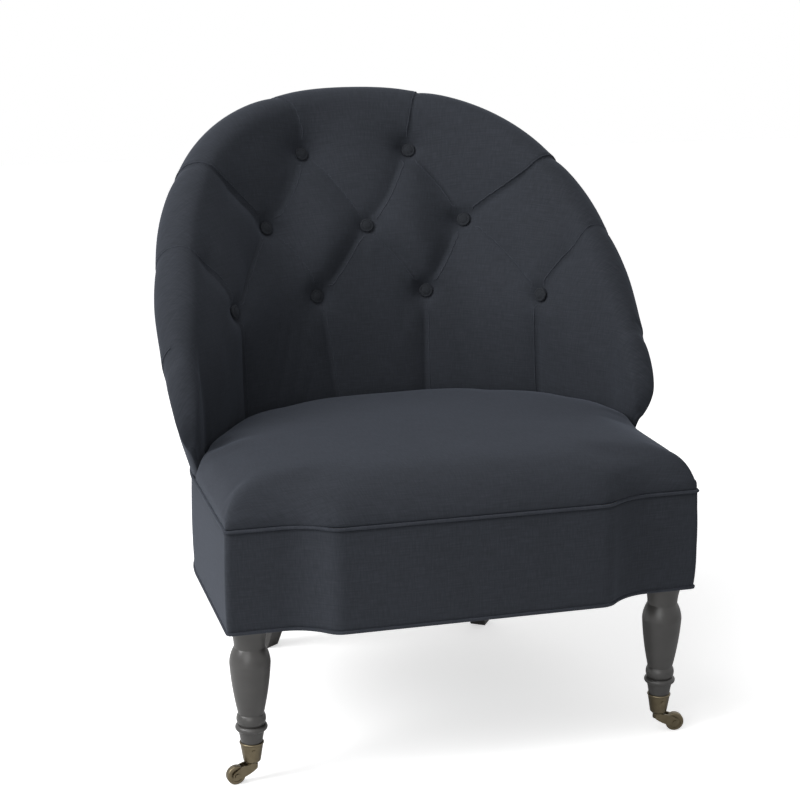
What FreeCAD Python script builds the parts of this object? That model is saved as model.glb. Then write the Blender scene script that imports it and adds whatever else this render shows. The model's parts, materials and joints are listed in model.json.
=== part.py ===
import FreeCAD, Part
import math
import os

V = FreeCAD.Vector

# A button-back tub chair: a boxed base on two turned front legs with castors and
# two sabre rear legs, a crowned seat, and a rolled tub back with nine tufts.
# Millimetres, +Z up, +Y towards the back, origin on the floor under the middle.

# Overall sizes
crown_height = 842.0
base_half_width = 321.0
front_y = -315.0
tub_centre_setback = 231.0
tub_centre_y = front_y + tub_centre_setback

# Clearances that part one piece from the next
gap = 0.3
hole_ease = 0.1
running_fit = 0.05
overrun = 60.0

# Boxed base: its border panels and their piping
border_bottom = 217.0
border_top = 356.0
border_thickness = 6.0
piping_radius = 2.8
piping_proud = 0.5
corner_radius = 5.0
corner_return = 14.0
breakfront_low = 33.0
breakfront_high = 27.0
breakfront_half_width = 175.0
ogee_end_half_width = 252.0
ogee_split_share = 0.12

# Tub: how its outside leans back and splays
base_rear_reach = 274.0
back_rake_share = 0.25
wing_splay_share = 0.155
rim_fall = 850.0
rim_fall_power = 2.45
wing_angle = 84.7
tip_angle = 92.8
tip_height = 440.0
tip_power = 1.2
tip_width_power = 0.6
tip_overhang = 2.0
tip_shares = (0.3, 0.55, 0.75, 0.9, 0.98)
fan_step = 10.0

# Layers of the back, counted inwards from its outside
outside_back_thickness = 3.0
back_frame_thickness = 18.0
lining_thickness = 2.5
roll_radius = 30.0
roll_overhang = 7.0
roll_drop = 55.0
rim_rail_cover = 28.0
rim_rail_depth = 30.0
back_piping_radius = 3.0
profile_easing = 34.0

# Inside face of the back at each angle from the middle: thickness at the seat,
# height and thickness at the belly, height and thickness at the shoulder
pad_profiles = (
    (0.0, 85.0, 645.0, 103.0, 755.0, 60.0),
    (14.0, 80.0, 635.0, 106.0, 755.0, 48.0),
    (28.0, 68.0, 560.0, 88.0, 680.0, 54.0),
    (42.0, 54.0, 550.0, 90.0, 660.0, 66.0),
    (56.0, 42.0, 545.0, 92.0, 620.0, 76.0),
    (70.0, 34.0, 500.0, 70.0, 552.0, 66.0),
    (84.7, 25.0, 440.0, 42.0, 470.0, 46.0),
)

# Tufts: each row has a height, and each button an angle and a distance from
# the point that the tub curves round
button_rows = {
    "upper_buttons": ((-13.2, 368.0, 751.0), (13.2, 368.0, 751.0)),
    "middle_buttons": ((-27.6, 331.0, 650.0), (0.0, 289.5, 648.0), (27.6, 331.0, 650.0)),
    "lower_buttons": (
        (-56.4, 274.0, 555.0),
        (-18.0, 274.0, 548.0),
        (18.0, 274.0, 548.0),
        (56.4, 274.0, 555.0),
    ),
}
button_radius = 10.0
button_rim = 2.5
button_dome = 3.0
well_radius = 11.5
well_flare = 20.0
pleat_half_width = 13.0
pleat_height = 20.0
pleat_depth = 5.0
roll_pleat_depth = 2.0
pleat_waist_share = 0.3
pleat_waist_height_share = 0.62
crossing_pleats = (
    ("upper_buttons", 0, "middle_buttons", 0),
    ("upper_buttons", 0, "middle_buttons", 1),
    ("upper_buttons", 1, "middle_buttons", 1),
    ("upper_buttons", 1, "middle_buttons", 2),
    ("middle_buttons", 0, "lower_buttons", 0),
    ("middle_buttons", 0, "lower_buttons", 1),
    ("middle_buttons", 1, "lower_buttons", 1),
    ("middle_buttons", 1, "lower_buttons", 2),
    ("middle_buttons", 2, "lower_buttons", 2),
    ("middle_buttons", 2, "lower_buttons", 3),
)
rim_pleats = (
    ("upper_buttons", 0, -14.9),
    ("upper_buttons", 1, 14.9),
    ("middle_buttons", 0, -46.8),
    ("middle_buttons", 2, 46.8),
    ("lower_buttons", 0, -63.0),
    ("lower_buttons", 3, 63.0),
)
rim_pleat_shares = (0.35, 0.7)
rim_pleat_turns = (165.0, 125.0, 90.0, 55.0, 15.0)
seat_pleat_height = 404.0
twine_radius = 1.2
twine_tail = 1.5

# Timber frame of the seat
frame_bottom = 221.0
front_rail_setback = 22.0
rail_thickness = 20.0
rail_ease = 0.5
block_size = 56.0
block_height = 80.0
rear_block_width = 70.0
spring_rail_setback = 190.0
spring_rail_depth = 22.0
spring_rail_half_length = 226.0
post_first_angle = 77.0
post_last_angle = 82.4
slat_angles = (-66.0, -36.0, -7.0, 7.0, 36.0, 66.0)
slat_half_angle = 2.5

# Seat springs: zigzag wires from the front rail to the spring rail
spring_wire_radius = 1.8
spring_places = (-200.0, -100.0, 0.0, 100.0, 200.0)
spring_half_width = 23.0
spring_bend = 11.0
spring_bends = 16
clip_width = 22.0
clip_depth = 9.0
clip_height = 8.0

# Seat: a crowned cushion round a flat foam slab
spring_cover_thickness = 3.5
spring_cover_inset = 10.0
seat_line = border_top + spring_cover_thickness + gap
seat_inset = 2.0
seat_upright = 7.0
seat_round = 46.0
seat_round_angles = (12.0, 24.0, 36.0, 48.0, 60.0, 72.0)
seat_crown = 416.0
crown_shares = (0.4, 0.7, 0.88, 0.97, 1.0)
crown_insets = (46.0, 72.0, 102.0, 136.0, 168.0)
seat_rear_reach = 252.0
seat_corner_share = 0.3
ogee_fade_share = 0.9
foam_inset = 16.0
foam_thickness = 14.0

# Dust cover under the frame
dust_cover_thickness = 1.5
dust_cover_inset = 7.0

# Turned front legs, their profile as radius and height above the floor
front_leg_x = 288.2
front_leg_setback = 29.4
leg_top_radius = 26.0
leg_neck_radius = 20.5
leg_neck_height = 190.0
leg_bulb_radius = 27.0
leg_bulb_height = 168.0
leg_ankle_radius = 17.0
leg_ankle_height = 97.0
leg_bead_radius = 19.3
leg_bead_height = 87.0
leg_groove_radius = 17.2
leg_groove_height = 81.5
leg_ring_radius = 21.3
leg_ring_height = 77.2
leg_cove_radius = 16.0
leg_cove_height = 66.5
leg_toe_radius = 14.4
leg_neck_fullness = 1.4
leg_bulb_fullness = 1.8
leg_shank_fullness = 1.5

# Sabre rear legs, from the frame to the floor
rear_leg_top_radius = 255.0
rear_leg_top_angle = 35.0
rear_leg_top_size = 40.0
rear_leg_knee_radius = 273.0
rear_leg_knee_height = 105.0
rear_leg_knee_size = 31.0
rear_leg_foot_radius = 308.0
rear_leg_foot_angle = 34.6
rear_leg_foot_size = 24.0
rear_bolt_radius_from_centre = 247.0
rear_block_reach = 10.0

# Hanger bolts that hold the legs
bolt_radius = 4.0
bolt_low = 186.0
bolt_high = 268.0

# Brass cup castors under the front legs
cup_top = 56.5
cup_bottom = 27.3
cup_top_radius = 15.3
cup_foot_radius = 11.5
cup_chamfer = 2.6
cup_wall = 0.9
cup_floor = 4.0
cup_lip_radius = 16.2
cup_lip_height = 3.0
toe_ease = 4.0
cup_screw_radius = 1.4
cup_screw_head_radius = 2.6
cup_screw_height = 46.0
cup_screw_length = 8.0
stem_radius = 3.0
stem_head_radius = 5.0
stem_head_height = 2.2
wheel_radius = 12.8
wheel_half_width = 4.6
wheel_edge = 1.6
wheel_dish_radius = 8.6
wheel_dish_depth = 0.8
hub_radius = 4.4
castor_trail = 23.1
trail_outward = 22.8
trail_forward = 3.8
cheek_clearance = 0.4
cheek_thickness = 2.1
horn_back = 5.0
horn_root = 8.0
horn_root_low = 19.6
horn_top = 25.6
horn_plate_radius = 7.6
cheek_end_radius = 6.0
cheek_brow = 2.3
cheek_sag = 0.25
axle_radius = 2.0
axle_head_radius = 3.3
axle_head_height = 1.1


# Measures worked out from the sizes above
frame_layer = outside_back_thickness + gap
lining_layer = frame_layer + back_frame_thickness + gap
pad_layer = lining_layer + lining_thickness + gap
rail_inset = border_thickness + rail_ease
piping_height = seat_line - gap - piping_radius
button_height = button_rim + button_dome
cheek_inner = wheel_half_width + cheek_clearance
cheek_outer = cheek_inner + cheek_thickness
front_leg_y = front_y + front_leg_setback


def fan_point(angle, radius, height):
    """Point at an angle from the middle of the back, seen from above."""
    turn = math.radians(angle)
    return V(radius * math.sin(turn), tub_centre_y + radius * math.cos(turn), height)


def outer_radius(angle, height):
    """Distance of the outside of the tub from the point that it curves round."""
    half_width = base_half_width + wing_splay_share * max(height - border_top, 0)
    reach = base_rear_reach + back_rake_share * (height - border_bottom)
    turn = math.radians(angle)
    return half_width * reach / math.hypot(reach * math.sin(turn), half_width * math.cos(turn))


def rim_height(angle):
    """Height of the top of the roll."""
    turn = math.radians(min(abs(angle), wing_angle))
    return crown_height - rim_fall * math.sin(turn / 2) ** rim_fall_power


def level(height):
    """A height that is the same at every angle."""
    return lambda angle: height


def below_rim(drop):
    """A height that follows the rim."""
    return lambda angle: rim_height(angle) - drop


def fan_angles(first, last):
    count = max(2, math.ceil((last - first) / fan_step) + 1)
    return [first + (last - first) * index / (count - 1) for index in range(count)]


def fan_shell(first, last, outer_layer, inner_layer, low, high):
    """A shell that follows the outside of the tub between two angles."""
    wires = []
    for angle in fan_angles(first, last):
        corners = [
            fan_point(angle, outer_radius(angle, height) - layer, height)
            for height, layer in (
                (low(angle), outer_layer),
                (high(angle), outer_layer),
                (high(angle), inner_layer),
                (low(angle), inner_layer),
            )
        ]
        wires.append(Part.makePolygon(corners + [corners[0]]))
    return Part.makeLoft(wires, True, False)


def ring_wire(centre, across, up, radius):
    """A circle of three arcs, about a centre, spanned by two directions."""
    def spot(degrees):
        turn = math.radians(degrees)
        return centre + across * (radius * math.cos(turn)) + up * (radius * math.sin(turn))
    edges = [Part.Arc(spot(start), spot(start + 60), spot(start + 120)).toShape() for start in (0, 120, 240)]
    return Part.Wire(edges)


def fan_tube(first, last, layer, height, radius):
    """A piping cord that follows the outside of the tub."""
    wires = []
    for angle in fan_angles(first, last):
        centre = fan_point(angle, outer_radius(angle, height(angle)) - layer, height(angle))
        turn = math.radians(angle)
        outward = V(math.sin(turn), math.cos(turn), 0)
        wires.append(ring_wire(centre, outward, V(0, 0, 1), radius))
    return Part.makeLoft(wires, True, False)


def unit(vector):
    return vector * (1 / vector.Length)


def tangent_point(outside, centre, radius, side):
    """Where a line from an outside point touches a circle, in the section plane."""
    away = outside - centre
    opening = math.acos(radius / away.Length)
    turn = math.atan2(away.y, away.x) + side * opening
    return centre + V(math.cos(turn), math.sin(turn), 0) * radius


def eased_corner(before, corner, after, easing):
    """Start, middle and end of an arc that rounds a corner."""
    to_before = unit(before - corner)
    to_after = unit(after - corner)
    half = to_before.getAngle(to_after) / 2
    inward = unit(to_before + to_after)
    middle = corner + inward * (easing / math.cos(half) - easing * math.tan(half))
    return corner + to_before * easing, middle, corner + to_after * easing


def halfway(centre, start, end):
    """The middle of the arc from one point of a circle to another."""
    return centre + unit(start + end - centre * 2) * (start - centre).Length


def pad_section(profile, extra):
    """Outline of the back at one angle, as points of (distance, height)."""
    angle, foot, belly_height, belly, shoulder_height, shoulder = profile
    top = rim_height(angle)
    roll = V(outer_radius(angle, top) + roll_overhang - roll_radius, top - roll_radius, 0)
    radius = roll_radius + extra
    low = seat_line - extra
    inner_foot = V(outer_radius(angle, low) - foot - extra, low, 0)
    inner_belly = V(outer_radius(angle, belly_height) - belly - extra, belly_height, 0)
    inner_shoulder = V(outer_radius(angle, shoulder_height) - shoulder - extra, shoulder_height, 0)
    outer_foot = V(outer_radius(angle, low) + extra, low, 0)
    inner_touch = tangent_point(inner_shoulder, roll, radius, -1)
    outer_touch = tangent_point(outer_foot, roll, radius, 1)
    roll_top = roll + V(0, radius, 0)
    roll_arc = [inner_touch, halfway(roll, inner_touch, roll_top), roll_top]
    roll_arc += [halfway(roll, roll_top, outer_touch), outer_touch]
    easing = min(profile_easing, (inner_shoulder - inner_belly).Length / 2 - gap)
    belly_arc = eased_corner(inner_foot, inner_belly, inner_shoulder, easing)
    shoulder_easing = min(easing, (inner_touch - inner_shoulder).Length - gap)
    shoulder_arc = eased_corner(inner_belly, inner_shoulder, inner_touch, shoulder_easing)
    return inner_foot, belly_arc, shoulder_arc, roll_arc, outer_foot


def section_wire(outline, angle, width_share, height_share):
    """The outline of the back, drawn in its upright plane and drawn in towards the tip."""
    middle = V(outer_radius(wing_angle, tip_height) + tip_overhang, tip_height, 0)

    def place(point):
        across = middle.x + (point.x - middle.x) * width_share
        height = middle.y + (point.y - middle.y) * height_share
        return fan_point(angle, across, height)

    foot, belly_arc, shoulder_arc, roll_arc, outer_foot = outline
    edges = [Part.LineSegment(place(foot), place(belly_arc[0])).toShape()]
    edges.append(scaled_arc(belly_arc, place))
    edges.append(Part.LineSegment(place(belly_arc[2]), place(shoulder_arc[0])).toShape())
    edges.append(scaled_arc(shoulder_arc, place))
    edges.append(Part.LineSegment(place(shoulder_arc[2]), place(roll_arc[0])).toShape())
    edges.append(scaled_arc(roll_arc[:3], place))
    edges.append(scaled_arc(roll_arc[2:], place))
    edges.append(Part.LineSegment(place(roll_arc[-1]), place(outer_foot)).toShape())
    edges.append(Part.LineSegment(place(outer_foot), place(foot)).toShape())
    return Part.Wire(edges)


def scaled_arc(points, place):
    return Part.Arc(place(points[0]), place(points[1]), place(points[2])).toShape()


def back_form(extra):
    """The whole upholstered back, wing tip to wing tip, as one closed loft."""
    half = []
    for profile in pad_profiles:
        half.append((profile[0], pad_section(profile, extra), 1, 1))
    tip_outline = half[-1][1]
    end_angle = tip_angle + math.degrees(extra / outer_radius(tip_angle, tip_height))
    for share in tip_shares:
        taper = (1 - share ** tip_power) ** (1 / tip_power)
        angle = wing_angle + (end_angle - wing_angle) * share
        half.append((angle, tip_outline, taper ** tip_width_power, taper))
    sections = [(-angle, outline, width, height) for angle, outline, width, height in reversed(half[1:])]
    wires = [
        section_wire(outline, angle, width, height)
        for angle, outline, width, height in sections + half
    ]
    return Part.makeLoft(wires, True, False)


def box(x_low, x_high, y_low, y_high, z_low, z_high):
    return Part.makeBox(x_high - x_low, y_high - y_low, z_high - z_low, V(x_low, y_low, z_low))


def s_bend(start, end, split_share):
    """Two arcs that leave and arrive along the same direction."""
    joint = start + (end - start) * split_share
    slope = math.atan2(abs(end.y - start.y), abs(end.x - start.x))
    arcs = []
    for first, last, side in ((start, joint, 1), (joint, end, -1)):
        chord = last - first
        square = unit(V(-chord.y, chord.x, 0))
        bulge = chord.Length / 2 * math.tan(slope / 2)
        towards = 1 if (end.x - start.x) * (end.y - start.y) > 0 else -1
        arcs.append(Part.Arc(first, (first + last) * 0.5 - square * (bulge * side * towards), last).toShape())
    return arcs


def mirrored_x(point):
    return V(-point.x, point.y, point.z)


def plan_line(inset, height, breakfront, corner, shrink_share):
    """Front and sides of the base from above, from the right side round to the left."""
    half_width = base_half_width - inset
    face = front_y + inset
    side_back = V(half_width, tub_centre_y, height)
    side_front = V(half_width, face + corner, height)
    front_side = V(half_width - corner, face, height)
    diagonal = corner * (1 - math.sqrt(0.5))
    corner_middle = V(half_width - diagonal, face + diagonal, height)
    ogee_end = V(ogee_end_half_width * shrink_share, face, height)
    break_end = V(breakfront_half_width * shrink_share, face - breakfront, height)
    right = [
        Part.LineSegment(side_back, side_front).toShape(),
        Part.Arc(side_front, corner_middle, front_side).toShape(),
        Part.LineSegment(front_side, ogee_end).toShape(),
    ]
    right += s_bend(ogee_end, break_end, 1 - ogee_split_share)
    middle = Part.LineSegment(break_end, mirrored_x(break_end)).toShape()
    left = s_bend(mirrored_x(break_end), mirrored_x(ogee_end), ogee_split_share)
    left += [
        Part.LineSegment(mirrored_x(ogee_end), mirrored_x(front_side)).toShape(),
        Part.Arc(mirrored_x(front_side), mirrored_x(corner_middle), mirrored_x(side_front)).toShape(),
        Part.LineSegment(mirrored_x(side_front), mirrored_x(side_back)).toShape(),
    ]
    return right + [middle] + left


def breakfront_at(height):
    """How far the middle of the front stands out, which grows towards the hem."""
    share = (border_top - height) / (border_top - border_bottom)
    return breakfront_high + (breakfront_low - breakfront_high) * share


def base_wire(inset, height):
    edges = plan_line(inset, height, breakfront_at(height), corner_radius, 1)
    half_width = base_half_width - inset
    closing = Part.LineSegment(V(-half_width, tub_centre_y, height), V(half_width, tub_centre_y, height))
    return Part.Wire(edges + [closing.toShape()])


def base_block(inset, low, high):
    """The front part of the base as a solid, up to the point that the tub curves round."""
    return Part.makeLoft([base_wire(inset, low), base_wire(inset, high)], True, True)


def full_plan(inset, low, thickness):
    """A flat sheet with the whole plan of the base."""
    half_width = base_half_width - inset
    reach = base_rear_reach + back_rake_share * (low - border_bottom) - inset
    edges = plan_line(inset, low, breakfront_at(low), corner_radius, 1)
    ellipse = Part.Ellipse(V(0, tub_centre_y, low), half_width, reach)
    edges.append(ellipse.toShape(0, math.pi))
    return Part.Face(Part.Wire(edges)).extrude(V(0, 0, thickness))


def tube_along(edges, radius, across, up):
    start = edges[0].Vertexes[0].Point
    return Part.Wire(edges).makePipeShell([ring_wire(start, across, up, radius)], True, False)


def turned(axis_x, axis_y, start, steps):
    """A turned solid: steps of (radius, height) are lines, and of four numbers arcs."""
    here = V(axis_x + start[0], axis_y, start[1])
    first = here
    edges = []
    for step in steps:
        there = V(axis_x + step[-2], axis_y, step[-1])
        if len(step) == 4:
            middle = V(axis_x + step[0], axis_y, step[1])
            edges.append(Part.Arc(here, middle, there).toShape())
        else:
            edges.append(Part.LineSegment(here, there).toShape())
        here = there
    edges.append(Part.LineSegment(here, first).toShape())
    face = Part.Face(Part.Wire(edges))
    return face.revolve(V(axis_x, axis_y, 0), V(0, 0, 1), 360)


def single(shape):
    """The largest solid of a shape, taken out of its wrapping."""
    return max(shape.Solids, key=lambda solid: solid.Volume)


def group(shapes):
    return Part.makeCompound([solid for shape in shapes for solid in shape.Solids])


# Base panels and their piping

def make_borders():
    low = border_bottom + 2 * piping_radius + gap
    high = piping_height - piping_radius - gap
    band = base_block(0, low, high).cut(base_block(border_thickness, low, high))
    split = front_y + corner_return
    reach = base_half_width + overrun
    front = band.common(box(-reach, reach, front_y - overrun, split, low - overrun, high + overrun))
    sides = band.common(box(-reach, reach, split + gap, tub_centre_y, low - overrun, high + overrun))
    left = [solid for solid in sides.Solids if solid.CenterOfMass.x < 0]
    right = [solid for solid in sides.Solids if solid.CenterOfMass.x > 0]
    return {
        "front_border": single(front),
        "left_border": left[0],
        "right_border": right[0],
        "rear_border": fan_shell(-90, 90, 0, border_thickness, level(low), level(high)),
    }


def make_piping():
    up = V(0, 0, 1)
    across = V(1, 0, 0)
    hem_height = border_bottom + piping_radius
    pieces = {}
    for name, height in (("seat", piping_height), ("hem", hem_height)):
        edges = plan_line(-piping_proud, height, breakfront_at(height), corner_radius, 1)
        pieces[name + "_piping"] = tube_along(edges, piping_radius, across, up)
    pieces["rear_seat_piping"] = fan_tube(-90, 90, -piping_proud, level(piping_height), piping_radius)
    pieces["rear_hem_piping"] = fan_tube(-90, 90, -piping_proud, level(hem_height), piping_radius)
    return pieces


# Timber frame of the seat

def make_seat_frame():
    front_rail_back = front_y + front_rail_setback
    reach = base_half_width + overrun
    front_cut = box(-reach, reach, front_y - overrun, front_rail_back, frame_bottom, border_top)
    front_rail = single(base_block(rail_inset, frame_bottom, border_top).common(front_cut))
    outer = base_half_width - rail_inset
    inner = outer - rail_thickness
    right_rail = box(inner, outer, front_rail_back, tub_centre_y, frame_bottom, border_top)
    left_rail = box(-outer, -inner, front_rail_back, tub_centre_y, frame_bottom, border_top)
    rear_inner = rail_inset + rail_thickness
    rear_rail = fan_shell(-90, 90, rail_inset, rear_inner, level(frame_bottom), level(border_top))
    rail_low = border_top - block_height
    rail_y = tub_centre_y + spring_rail_setback
    half_length = spring_rail_half_length
    bar = box(-half_length, half_length, rail_y, rail_y + spring_rail_depth, rail_low, border_top)
    return {
        "front_seat_rail": front_rail,
        "side_seat_rail_left": left_rail,
        "side_seat_rail_right": right_rail,
        "rear_seat_rail": rear_rail,
        "spring_rail": single(bar.cut(rear_rail)),
    }


def make_corner_blocks(frame, bolt_holes):
    inner = base_half_width - rail_inset - rail_thickness
    front_low = front_y + front_rail_setback
    high = frame_bottom + block_height
    blocks = []
    for side in (-1, 1):
        x_ends = sorted((side * (inner - block_size), side * inner))
        blocks.append(box(x_ends[0], x_ends[1], front_low, front_low + block_size, frame_bottom, high))
        rear = box(
            -rear_block_width / 2,
            rear_block_width / 2,
            rear_bolt_radius_from_centre - block_size / 2,
            rear_leg_top_radius + rear_block_reach,
            frame_bottom,
            high - rail_thickness,
        )
        rear.rotate(V(0, 0, 0), V(0, 0, 1), -side * rear_leg_top_angle)
        rear.translate(V(0, tub_centre_y, 0))
        blocks.append(single(rear.cut([frame["rear_seat_rail"], frame["spring_rail"]])))
    return group([block.cut(bolt_holes) for block in blocks])


# Springs and the cloth over them

def spring_path(x_place, height):
    """A zigzag wire: straight runs across the seat, joined by half turns."""
    run = spring_half_width - spring_bend
    y_place = front_y + front_rail_setback + clip_depth / 2
    pitch = 2 * spring_bend
    edges = []
    side = 1
    for index in range(spring_bends):
        y_here = y_place + index * pitch
        start = V(x_place - side * run, y_here, height)
        end = V(x_place + side * run, y_here, height)
        edges.append(Part.LineSegment(start, end).toShape())
        if index == spring_bends - 1:
            break
        bulge = spring_bend * math.sqrt(0.5)
        tip = V(end.x + side * spring_bend, y_here + spring_bend, height)
        first = V(end.x + side * bulge, y_here + spring_bend - bulge, height)
        second = V(end.x + side * bulge, y_here + spring_bend + bulge, height)
        edges.append(Part.Arc(end, first, tip).toShape())
        edges.append(Part.Arc(tip, second, V(end.x, y_here + pitch, height)).toShape())
        side = -side
    return edges


def make_springs():
    height = border_top - gap - spring_wire_radius
    y_first = front_y + front_rail_setback
    y_last = y_first + clip_depth + 2 * spring_bend * (spring_bends - 1)
    bore = spring_wire_radius + hole_ease
    wires = []
    clips = []
    for x_place in spring_places:
        wires.append(tube_along(spring_path(x_place, height), spring_wire_radius, V(0, 1, 0), V(0, 0, 1)))
        for y_low in (y_first, y_last - clip_depth):
            x_low = x_place - clip_width / 2
            low = border_top - clip_height
            clip = box(x_low, x_low + clip_width, y_low, y_low + clip_depth, low, border_top)
            start = V(x_low - overrun, y_low + clip_depth / 2, height)
            slot = Part.makeCylinder(bore, clip_width + 2 * overrun, start, V(1, 0, 0))
            clips.append(clip.cut(slot))
    return {"seat_springs": group(wires), "spring_clips": group(clips)}


# Seat

def seat_layers():
    """Insets and heights of the seat's outline, from the piping up over the crown."""
    round_low = seat_line + seat_upright
    layers = [(seat_inset, seat_line), (seat_inset, round_low)]
    for degrees in seat_round_angles:
        turn = math.radians(degrees)
        inset = seat_inset + seat_round * (1 - math.cos(turn))
        layers.append((inset, round_low + seat_round * math.sin(turn)))
    edge_height = layers[-1][1]
    rise = seat_crown - edge_height
    for share, inset in zip(crown_shares, crown_insets):
        layers.append((inset, edge_height + rise * share))
    return layers


def seat_wire(inset, height):
    shrink = (base_half_width - inset) / base_half_width
    fade = 1 - ogee_fade_share * inset / crown_insets[-1]
    corner = corner_radius + inset * seat_corner_share
    edges = plan_line(inset, height, breakfront_high * fade, corner, shrink)
    half_width = base_half_width - inset
    reach = seat_rear_reach - inset
    diagonal = math.sqrt(0.5)
    rear = V(0, tub_centre_y + reach, height)
    for side, start, end in (
        (-1, V(-half_width, tub_centre_y, height), rear),
        (1, rear, V(half_width, tub_centre_y, height)),
    ):
        middle = V(side * half_width * diagonal, tub_centre_y + reach * diagonal, height)
        edges.append(Part.Arc(start, middle, end).toShape())
    return Part.Wire(edges)


def make_seat(back_clearance):
    """A flat foam slab under a crowned cushion, both cut to the inside of the back."""
    foam_top = seat_line + foam_thickness
    foam = Part.makeLoft([seat_wire(foam_inset, seat_line), seat_wire(foam_inset, foam_top)], True, True)
    room_inset = foam_inset - gap
    room_wires = [seat_wire(room_inset, seat_line - overrun), seat_wire(room_inset, foam_top + gap)]
    room = Part.makeLoft(room_wires, True, True)
    layers = [seat_wire(inset, height) for inset, height in seat_layers()]
    cushion = Part.makeLoft(layers, True, True).cut([room, back_clearance])
    return {"seat_cushion": single(cushion), "seat_foam": single(foam.cut(back_clearance))}


# Tub back

def make_back_frame():
    front = frame_layer
    back = frame_layer + back_frame_thickness
    post_back = back - gap
    rail_top = below_rim(rim_rail_cover)
    rail_low = below_rim(rim_rail_cover + rim_rail_depth)
    post_top = below_rim(rim_rail_cover + rim_rail_depth + gap)
    foot = level(border_top)
    last = post_last_angle
    slats = [
        fan_shell(angle - slat_half_angle, angle + slat_half_angle, front, post_back, foot, post_top)
        for angle in slat_angles
    ]
    return {
        "rim_rail": fan_shell(-last, last, front, back, rail_low, rail_top),
        "wing_post_left": fan_shell(-last, -post_first_angle, front, post_back, foot, post_top),
        "wing_post_right": fan_shell(post_first_angle, last, front, post_back, foot, post_top),
        "back_slats": group(slats),
    }


def pad_normal(angle, slope_share):
    """Direction out of the pad towards the sitter, tipped up by the lean of the face."""
    turn = math.radians(angle)
    return unit(V(-math.sin(turn), -math.cos(turn), slope_share))


def lining_normal(angle):
    turn = math.radians(angle)
    return unit(V(math.sin(turn), math.cos(turn), -back_rake_share))


button_leans = {"upper_buttons": 0.45, "middle_buttons": 0.4, "lower_buttons": 0.2}


def all_buttons():
    """Row, face centre, axis and angle of each button."""
    places = []
    for row, buttons in button_rows.items():
        for angle, radius, height in buttons:
            axis = pad_normal(angle, button_leans[row])
            places.append((row, fan_point(angle, radius, height), axis, angle))
    return places


def turned_about(profile_edges, base, axis):
    """A solid of revolution drawn about the Z axis, stood on a point along an axis."""
    solid = Part.Face(Part.Wire(profile_edges)).revolve(V(0, 0, 0), V(0, 0, 1), 360)
    solid.Placement = FreeCAD.Placement(base, FreeCAD.Rotation(V(0, 0, 1), axis))
    return solid


def make_button(face, axis):
    """A covered button: a short rim under a dome."""
    rim_low = V(button_radius, 0, 0)
    rim_high = V(button_radius, 0, button_rim)
    top = V(0, 0, button_height)
    sphere = (button_radius ** 2 + button_dome ** 2) / (2 * button_dome)
    across = button_radius / 2
    bulge = V(across, 0, button_height - sphere + math.sqrt(sphere ** 2 - across ** 2))
    edges = [
        Part.LineSegment(V(0, 0, 0), rim_low).toShape(),
        Part.LineSegment(rim_low, rim_high).toShape(),
        Part.Arc(rim_high, bulge, top).toShape(),
        Part.LineSegment(top, V(0, 0, 0)).toShape(),
    ]
    return turned_about(edges, face - axis * button_height, axis)


def make_well(face, axis):
    """The hollow that a button pulls into the pad, flaring out to the surface."""
    floor = face - axis * (button_height + gap)
    depth = button_height + well_flare
    flare = V(well_radius + well_flare, 0, depth)
    throat = V(well_radius, 0, button_height)
    shoulder = well_flare * (1 - math.sqrt(0.5))
    middle = V(well_radius + shoulder, 0, depth - shoulder)
    edges = [
        Part.LineSegment(V(0, 0, 0), V(well_radius, 0, 0)).toShape(),
        Part.LineSegment(V(well_radius, 0, 0), throat).toShape(),
        Part.Arc(throat, middle, flare).toShape(),
        Part.LineSegment(flare, V(flare.x, 0, depth + overrun)).toShape(),
        Part.LineSegment(V(flare.x, 0, depth + overrun), V(0, 0, depth + overrun)).toShape(),
        Part.LineSegment(V(0, 0, depth + overrun), V(0, 0, 0)).toShape(),
    ]
    return turned_about(edges, floor, axis)


def profile_at(angle):
    """The pad's profile between two of the angles that it is given at."""
    for low, high in zip(pad_profiles, pad_profiles[1:]):
        if low[0] <= abs(angle) <= high[0]:
            share = (abs(angle) - low[0]) / (high[0] - low[0])
            return [first + (second - first) * share for first, second in zip(low, high)]
    return pad_profiles[-1]


def face_point(angle, height, depth):
    """A point under the inside face of the pad."""
    foot, belly_arc, shoulder_arc, roll_arc, outer_foot = pad_section(profile_at(angle), 0)
    line = [foot, belly_arc[1], shoulder_arc[1], roll_arc[0]]
    for low, high in zip(line, line[1:]):
        if height <= high.y or high is line[-1]:
            share = (height - low.y) / (high.y - low.y)
            radius = low.x + (high.x - low.x) * share
            break
    return fan_point(angle, radius + depth, height)


def roll_point(angle, degrees, depth):
    """A point under the surface of the roll, and the direction out of it."""
    top = rim_height(angle)
    centre = outer_radius(angle, top) + roll_overhang - roll_radius
    turn = math.radians(degrees)
    reach = roll_radius - depth
    point = fan_point(angle, centre + reach * math.cos(turn), top - roll_radius + reach * math.sin(turn))
    outward = math.radians(angle)
    level_out = V(math.sin(outward), math.cos(outward), 0)
    return point, level_out * math.cos(turn) + V(0, 0, math.sin(turn))


def pleat_tool(stations):
    """The groove of a pleat, through the points and outward directions of its bottom."""
    wires = []
    for index, (bottom, outward) in enumerate(stations):
        before = stations[max(index - 1, 0)][0]
        after = stations[min(index + 1, len(stations) - 1)][0]
        across = unit((after - before).cross(outward))
        edges = []
        lips = []
        for side in (1, -1):
            lip = bottom + outward * pleat_height + across * (side * pleat_half_width)
            waist = across * (side * pleat_half_width * pleat_waist_share)
            waist += outward * (pleat_height * pleat_waist_height_share)
            edges.append(Part.Arc(bottom, bottom + waist, lip).toShape())
            lips.append(lip)
        edges.insert(1, Part.LineSegment(lips[0], lips[1]).toShape())
        wires.append(Part.Wire(edges))
    return Part.makeLoft(wires, True, True)


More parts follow.
